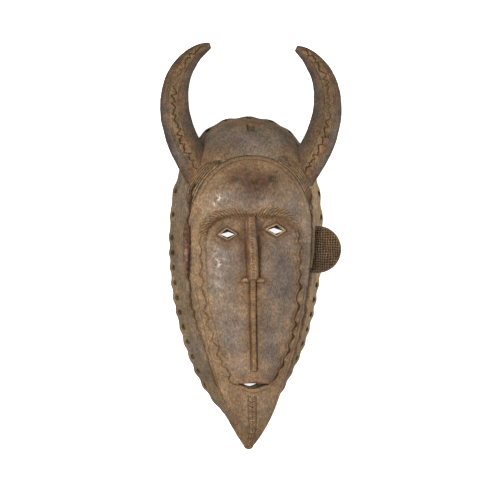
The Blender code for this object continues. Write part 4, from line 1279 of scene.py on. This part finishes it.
def ear_piece():
    """The disc ear with its fine grid of small square pits, paler towards its upper right, with painted shade
    on its left side and round its rim.
    """
    turn = np.linspace(0.0, 2.0 * math.pi, EAR_POINTS, endpoint=False)
    low, top = EAR_Z - EAR_THICKNESS / 2.0, EAR_Z + EAR_THICKNESS / 2.0
    face_radius = EAR_RADIUS - EAR_BEVEL
    profile = [(0.004, low), (EAR_RADIUS * 0.5, low), (face_radius, low), (EAR_RADIUS - 0.0003, low + 0.0006),
               (EAR_RADIUS, low + 0.0015), (EAR_RADIUS, top - 0.0013), (EAR_RADIUS - 0.0004, top - 0.0004),
               (face_radius, top)]
    rings = [np.column_stack([radius * np.cos(turn), radius * np.sin(turn), np.full(EAR_POINTS, level)])
             for radius, level in profile]
    pits = [np.zeros(EAR_POINTS)] * len(profile)
    for step in range(1, EAR_RINGS + 1):
        radius = face_radius * (1.0 - step / (EAR_RINGS + 0.5))
        x, y = radius * np.cos(turn), radius * np.sin(turn)
        wobble = 0.0011 * noise(flat_points(x, y), 0.010, 41)
        columns, rows = (0.5 + 0.5 * np.cos(2.0 * math.pi * (place + wobble) / EAR_GRID_PITCH)
                         for place in (x, y))
        inside = smooth(-radius, -EAR_RADIUS + 0.0016, -EAR_RADIUS + 0.0026)
        pits.append(smooth(columns * rows, 0.08, 0.42) * inside)
        rings.append(np.column_stack([x, y, top - EAR_GRID_DEPTH * pits[-1]]))
    rings = np.array(rings) + np.array([EAR_X, EAR_Y, 0.0])
    made = capped_tube("ear", rings)
    spots = rings.reshape(-1, 3) - np.array([EAR_X, EAR_Y, 0.0])
    relief = Relief(len(spots))
    relief.tint("dark", pits)
    # Painted shade round the rim and on the left side of the disc; paler ochre towards its upper right.
    relief.tint("shade", smooth(np.hypot(spots[:, 0], spots[:, 1]), EAR_RADIUS - 0.0026, EAR_RADIUS - 0.0008))
    toward_upper_right = spots[:, 0] + 0.5 * spots[:, 1] + 0.006 * noise(spots, 0.010, 42)
    relief.tint("ochre", smooth(toward_upper_right, -0.008, 0.020))
    relief.tint("shade", 0.55 * smooth(-spots[:, 0] + 0.004 * noise(spots, 0.008, 43), -0.004, 0.012))
    relief.store(made.data)
    return made


def lofted(name, outlines, levels):
    """A closed body through flat outlines at several levels."""
    rings = np.array([np.column_stack([outline, np.full(len(outline), level)])
                      for outline, level in zip(outlines, levels)])
    return capped_tube(name, rings)


def eye_cutters():
    """Cutters of the diamond eye holes: funnels that narrow towards the hollow."""
    cutters = []
    for frame, hole in ((LEFT_EYE_FRAME, LEFT_EYE_HOLE), (RIGHT_EYE_FRAME, RIGHT_EYE_HOLE)):
        outer, narrow = millimetres(frame), millimetres(hole)
        middle = outer.mean(axis=0)
        lip, wide = (middle + (outer - middle) * share for share in (EYE_LIP_SHARE, EYE_WIDE_SHARE))
        cutters.append(lofted("eye_cutter", [narrow, narrow, lip, wide],
                              [CUTTER_FOOT, EYE_THROAT_LEVEL, EYE_LIP_LEVEL, CUTTER_TOP]))
    return cutters


def mouth_slit():
    """Outline of the mouth slit: nearly straight above and bowed below."""
    x = np.linspace(-0.5, 0.5, SLIT_POINTS)
    bow = 1.0 - (2.0 * x) ** 2
    sag = 0.72 * bow * (1.0 - 0.34 * smooth(x, -0.10, 0.40))
    across = MOUTH_X + MOUTH_SLIT_WIDTH * x
    lower = np.column_stack([across, MOUTH_LEVEL - MOUTH_SLIT_HEIGHT * sag])
    upper = np.column_stack([across, MOUTH_LEVEL + MOUTH_SLIT_HEIGHT * 0.16 * bow])[-2:0:-1]
    return np.vstack([lower, upper])


def mouth_cutter():
    """Cutter of the mouth slit, narrower towards the hollow."""
    slit = mouth_slit()
    middle = slit.mean(axis=0)
    throat = middle + MOUTH_THROAT_SHIFT + (slit - middle) * MOUTH_THROAT_SHARE
    return lofted("mouth_cutter", [throat, throat, slit], [CUTTER_FOOT, MOUTH_THROAT_LEVEL, MOUTH_LIP_LEVEL])


def rim_holes():
    """Middle and three directions of every hole along the rim: outwards, sideways and up."""
    angle, _ = even_angles(HOLE_PAIRS * 2)
    away = outwards_at(angle)
    holes = []
    for i in range(0, len(angle), 2):
        place = np.append(rim_outline(angle[i:i + 1])[0], HOLE_HEIGHT)
        if place[1] > HOOD_BOTTOM + HOLE_FREE_CHIN:
            out = away[i] * math.cos(HOLE_SLANT) + np.array([0.0, 0.0, math.sin(HOLE_SLANT)])
            sideways = np.array([-away[i][1], away[i][0], 0.0])
            holes.append((place, out, sideways, np.cross(out, sideways)))
    return holes


def hole_mask(spots):
    """One in the rim holes and at their edges."""
    mask = np.zeros(len(spots))
    radius = HOLE_DIAMETER / 2.0
    for place, out, sideways, up in rim_holes():
        away = spots - place
        reach = np.hypot(away @ sideways, away @ up / HOLE_TALLNESS)
        mask = np.maximum(mask, fall(reach, radius + 0.0001, radius + 0.0008) * (np.abs(away @ out) < 0.030))
    return mask


def hole_cutters():
    """Cutters of the holes along the rim, slanting up and outwards."""
    turns = np.linspace(0.0, 2.0 * math.pi, HOLE_POINTS, endpoint=False)
    radius = HOLE_DIAMETER / 2.0
    cutters = []
    for place, out, sideways, up in rim_holes():
        rings = [[place + out * depth + radius * (sideways * math.cos(t) + HOLE_TALLNESS * up * math.sin(t))
                  for t in turns] for depth in (-2.2 * RIM_WALL, RIM_WALL)]
        cutters.append(capped_tube("hole_cutter", np.array(rings)))
    return cutters


def cut_with(target, cutters, wall_shade):
    """Cut the target with all the cutters, delete them, and darken the walls of the cuts with painted shade.
    """
    bpy.context.view_layer.update()
    joined = cutters[0]
    if len(cutters) > 1:
        with bpy.context.temp_override(active_object=joined, selected_editable_objects=cutters,
                                       selected_objects=cutters, object=joined):
            bpy.ops.object.join()
    set_attribute(joined.data, "dark", np.full(len(joined.data.vertices), wall_shade))
    modifier = target.modifiers.new("openings", 'BOOLEAN')
    modifier.operation = 'DIFFERENCE'
    modifier.solver = 'MANIFOLD'
    modifier.object = joined
    graph = bpy.context.evaluated_depsgraph_get()
    cut_mesh = bpy.data.meshes.new_from_object(target.evaluated_get(graph))
    target.modifiers.clear()
    old = target.data
    target.data = cut_mesh
    bpy.data.meshes.remove(old)
    bpy.data.objects.remove(joined, do_unlink=True)
    cut_mesh.set_sharp_from_angle(angle=math.radians(55.0))


class Nodes:
    """A short way to build a node tree."""

    def __init__(self, name):
        self.material = bpy.data.materials.new(name)
        self.material.use_nodes = True
        self.tree = self.material.node_tree
        self.shader = self.tree.nodes["Principled BSDF"]

    def new(self, kind, **settings):
        node = self.tree.nodes.new(kind)
        for key, value in settings.items():
            setattr(node, key, value)
        return node

    def feed(self, target, value):
        """Link a socket to a value, or set it when the value is a number or a colour."""
        if isinstance(value, tuple):
            target.default_value = (*value, 1.0)
        elif isinstance(value, (int, float)):
            target.default_value = value
        else:
            self.tree.links.new(value, target)

    def tone(self, name):
        return self.new("ShaderNodeAttribute", attribute_name=name).outputs["Fac"]

    def noise(self, size, detail=4.0, stretch=(1.0, 1.0, 1.0), rough=0.55, seed=0.0):
        """Noise whose lumps have a given size in metres."""
        position = self.new("ShaderNodeTexCoord")
        mapping = self.new("ShaderNodeMapping")
        mapping.inputs["Scale"].default_value = stretch
        mapping.inputs["Location"].default_value = (seed, seed * 0.7, seed * 0.3)
        self.feed(mapping.inputs["Vector"], position.outputs["Object"])
        texture = self.new("ShaderNodeTexNoise")
        for key, value in (("Scale", 1.0 / size), ("Detail", detail), ("Roughness", rough),
                           ("Vector", mapping.outputs["Vector"])):
            self.feed(texture.inputs[key], value)
        return texture.outputs["Fac"]

    def ramp(self, value, low, high, start=0.0, end=1.0):
        node = self.new("ShaderNodeMapRange", interpolation_type='SMOOTHSTEP')
        for key, given in (("Value", value), ("From Min", low), ("From Max", high),
                           ("To Min", start), ("To Max", end)):
            self.feed(node.inputs[key], given)
        return node.outputs["Result"]

    def patchy(self, size, seed, low, high, start=0.0, end=1.0, detail=4.0, rough=0.55):
        """Noise drawn out into soft patches, from start below a low level to end above a high one."""
        return self.ramp(self.noise(size, detail, rough=rough, seed=seed), low, high, start, end)

    def maths(self, operation, first, second):
        node = self.new("ShaderNodeMath", operation=operation)
        self.feed(node.inputs[0], first)
        self.feed(node.inputs[1], second)
        return node.outputs["Value"]

    def times(self, product, *factors):
        for factor in factors:
            product = self.maths('MULTIPLY', product, factor)
        return product

    def plus(self, total, *values):
        for value in values:
            total = self.maths('ADD', total, value)
        return total

    def mix(self, share, first, second):
        node = self.new("ShaderNodeMix", data_type='RGBA')
        self.feed(node.inputs["Factor"], share)
        for key, value in (("A", first), ("B", second)):
            sockets = [socket for socket in node.inputs if socket.name == key and socket.type == 'RGBA']
            self.feed(sockets[0], value)
        return [socket for socket in node.outputs if socket.type == 'RGBA'][0]

    def scaled(self, colour, factor):
        """A colour made lighter or darker by a factor."""
        node = self.new("ShaderNodeVectorMath", operation='SCALE')
        self.feed(node.inputs[0], colour)
        self.feed(node.inputs["Scale"], factor)
        return node.outputs["Vector"]


def wood(name, brown, tan, gloss=0.50, richness=1.0):
    """Worn carved wood: mottled browns, grey polish, dark grooves, fine grain and a dull, patchy sheen."""
    n = Nodes(name)
    grain = n.noise(0.012, 4.0, (5.0, 0.6, 3.0), seed=3.0)
    fleck = n.noise(0.0046, 4.0, seed=4.0, rough=0.7)
    fine = n.noise(0.0026, 3.0, (1.5, 0.8, 1.0), seed=5.0, rough=0.7)
    n.feed(n.shader.inputs["Base Color"], wood_colour(n, brown, tan, richness, grain, fleck, fine))
    roughness = n.plus(n.patchy(0.0042, 11.0, 0.30, 0.70, gloss - 0.10, gloss + 0.22, detail=5.0),
                       n.times(n.tone("dark"), 0.30), n.times(n.tone("brown"), 0.14))
    n.feed(n.shader.inputs["Roughness"], roughness)
    n.feed(n.shader.inputs["Specular IOR Level"], 0.32)
    shiny = n.patchy(0.0075, 12.0, 0.46, 0.62, detail=5.0, rough=0.62)
    shiny = n.times(shiny, n.maths('SUBTRACT', 1.0, n.tone("dark")), n.tone("polish"), 0.62)
    n.feed(n.shader.inputs["Coat Weight"], shiny)
    n.feed(n.shader.inputs["Coat Roughness"], 0.27)
    bump = n.new("ShaderNodeBump")
    n.feed(bump.inputs["Strength"], 0.70)
    n.feed(bump.inputs["Distance"], 0.0007)
    n.feed(bump.inputs["Height"], n.plus(n.times(fine, 0.35), n.times(fleck, 0.75), n.times(grain, 0.5)))
    n.feed(n.shader.inputs["Normal"], bump.outputs["Normal"])
    return n.material


def wood_colour(n, brown, tan, richness, grain, fleck, fine):
    """Base colour of the wood: layers of browns, and of each tone of the carving in its turn, painted shade
    among them.
    """
    olive, patina, ochre, russet = (tuple(part * richness for part in colour)
                                    for colour in (OLIVE, PATINA, OCHRE, RUSSET))
    layers = (
        (n.times(n.patchy(0.022, 6.0, 0.46, 0.66), 0.55), olive),
        (n.times(n.patchy(0.012, 2.0, 0.44, 0.68, detail=5.0), 0.45), patina),
        (n.times(n.patchy(0.018, 14.0, 0.50, 0.68), 0.45), russet),
        (n.times(n.tone("patina"), n.patchy(0.016, 7.0, 0.30, 0.62, 0.45), 0.85), patina),
        (n.times(n.tone("ochre"), n.patchy(0.009, 8.0, 0.34, 0.62, 0.30), 0.80), ochre),
        (n.times(n.tone("brown"), n.patchy(0.007, 9.0, 0.34, 0.62, 0.40), 0.88), DEEP_BROWN),
        (n.times(n.tone("shade"), 0.72), SHADE),
        (n.times(n.tone("red"), n.ramp(fleck, 0.30, 0.60, 0.55)), RED),
        (n.tone("pale"), PALE),
        (n.tone("raw"), n.mix(n.ramp(fleck, 0.36, 0.64), BARE_DARK, BARE_PALE)),
        (n.times(n.ramp(grain, 0.50, 0.72), 0.34), DEEP_BROWN),
        # stained forehead, and painted shade beside the nose and round the nostrils
        (n.times(n.tone("stain_and_shade"), n.patchy(0.006, 10.0, 0.28, 0.60, 0.70, detail=5.0)), STAIN_AND_SHADE),
    )
    colour = n.mix(n.patchy(0.040, 1.0, 0.36, 0.64, detail=3.0), brown, tan)
    for share, layer in layers:
        colour = n.mix(share, colour, layer)
    colour = n.scaled(colour, n.patchy(0.020, 13.0, 0.34, 0.66, 0.80, 1.20, detail=5.0, rough=0.6))
    colour = n.scaled(colour, n.ramp(fleck, 0.30, 0.70, 1.0 - SPECKLE, 1.0 + SPECKLE))
    colour = n.scaled(colour, n.ramp(fine, 0.34, 0.66, 1.0 - 2.3 * SPECKLE, 1.0 + 2.3 * SPECKLE))
    # The dark tone: cut lines, and painted shade in the openings, holes and hollow
    return n.mix(n.times(n.tone("dark"), 0.97), colour, DARK_CUTS_AND_SHADE)


def dress(piece, material):
    """Put a piece on the solid it stands for, with its material."""
    piece.data.materials.clear()
    piece.data.materials.append(material)
    piece.data.transform(Matrix.Translation(Vector(PLACE)))
    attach(piece, "root")
    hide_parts("mask")


def floor():
    """The plain pale floor."""
    corners = [(x * FLOOR_REACH, y * FLOOR_REACH, 0.0) for x, y in ((-1, -1), (1, -1), (1, 1), (-1, 1))]
    mesh = bpy.data.meshes.new("floor")
    mesh.from_pydata(corners, [], [(0, 1, 2, 3)])
    made = bpy.data.objects.new("floor", mesh)
    bpy.context.scene.collection.objects.link(made)
    n = Nodes("floor_white")
    for key, value in (("Base Color", (0.80, 0.80, 0.80)), ("Roughness", 0.9),
                       ("Emission Color", (1.0, 1.0, 1.0)), ("Emission Strength", 0.90)):
        n.feed(n.shader.inputs[key], value)
    mesh.materials.append(n.material)
    made.visible_diffuse = False
    made.visible_glossy = False


def area_light(name, place, aim, width, length, power):
    """A soft light with a rectangular face."""
    data = bpy.data.lights.new(name, 'AREA')
    data.shape = 'RECTANGLE'
    data.energy = power
    data.size = width
    data.size_y = length
    data.color = WARM_LIGHT
    lamp = bpy.data.objects.new(name, data)
    lamp.location = place
    lamp.rotation_euler = (Vector(aim) - Vector(place)).to_track_quat('-Z', 'Y').to_euler()
    bpy.context.scene.collection.objects.link(lamp)


def studio():
    """Soft light from above the horns and from both sides."""
    world = bpy.data.worlds.new("studio")
    bpy.context.scene.world = world
    world.use_nodes = True
    background = world.node_tree.nodes["Background"]
    background.inputs["Color"].default_value = (*WARM_LIGHT, 1.0)
    background.inputs["Strength"].default_value = WORLD_STRENGTH
    for name, place, width, length, power in LIGHTS:
        area_light(name, place, LIGHT_AIM, width, length, power)


def camera():
    """The camera, looking down on the mask from a little to the left."""
    data = bpy.data.cameras.new("camera")
    data.sensor_width = 36.0
    data.lens = data.sensor_width * CAMERA_DISTANCE / FRAME_WIDTH
    made = bpy.data.objects.new("camera", data)
    bpy.context.scene.collection.objects.link(made)
    away = Vector((math.sin(CAMERA_YAW), 0.0, math.cos(CAMERA_YAW)))
    right = Vector((math.cos(CAMERA_YAW), 0.0, -math.sin(CAMERA_YAW)))
    up = Vector((0.0, 1.0, 0.0))
    turn = Matrix.Rotation(-CAMERA_ROLL, 3, away)
    right, up = turn @ right, turn @ up
    made.matrix_world = Matrix.Translation(Vector(CAMERA_AIM) + away * CAMERA_DISTANCE) @ Matrix(
        ((right.x, up.x, away.x), (right.y, up.y, away.y), (right.z, up.z, away.z))).to_4x4()
    bpy.context.scene.camera = made


face = face_piece()
cut_with(face, [*eye_cutters(), mouth_cutter()], OPENING_WALL_SHADE)
hood = hood_piece()
cut_with(hood, hole_cutters(), HOLE_WALL_SHADE)
horns = [horn_piece(-1.0), horn_piece(1.0)]
ear = ear_piece()
nose = ridge_piece("nose", NOSE_TOP, NOSE_BOTTOM, NOSE_RISE, NOSE_PITCH, nose_profile,
                   notch_width=0.0022, notch_depth=0.0010, pale=0.22)
ridge = ridge_piece("lower_ridge", NOSE_BOTTOM + 0.002, RIDGE_BOTTOM, RIDGE_RISE, RIDGE_PITCH, ridge_profile,
                    notch_width=0.0026, notch_depth=0.0006, pale=0.78)
knobs = [knob_piece("nostril_left", -1.0), knob_piece("nostril_right", 1.0)]

for material_name, pieces in (("face_wood", [face, nose, ridge, *knobs]), ("hood_wood", [hood]),
                              ("horn_wood", horns), ("ear_wood", [ear])):
    material = wood(material_name, **WOODS[material_name])
    for piece in pieces:
        dress(piece, material)

floor()
studio()
camera()
bpy.context.scene.view_settings.view_transform = 'Standard'
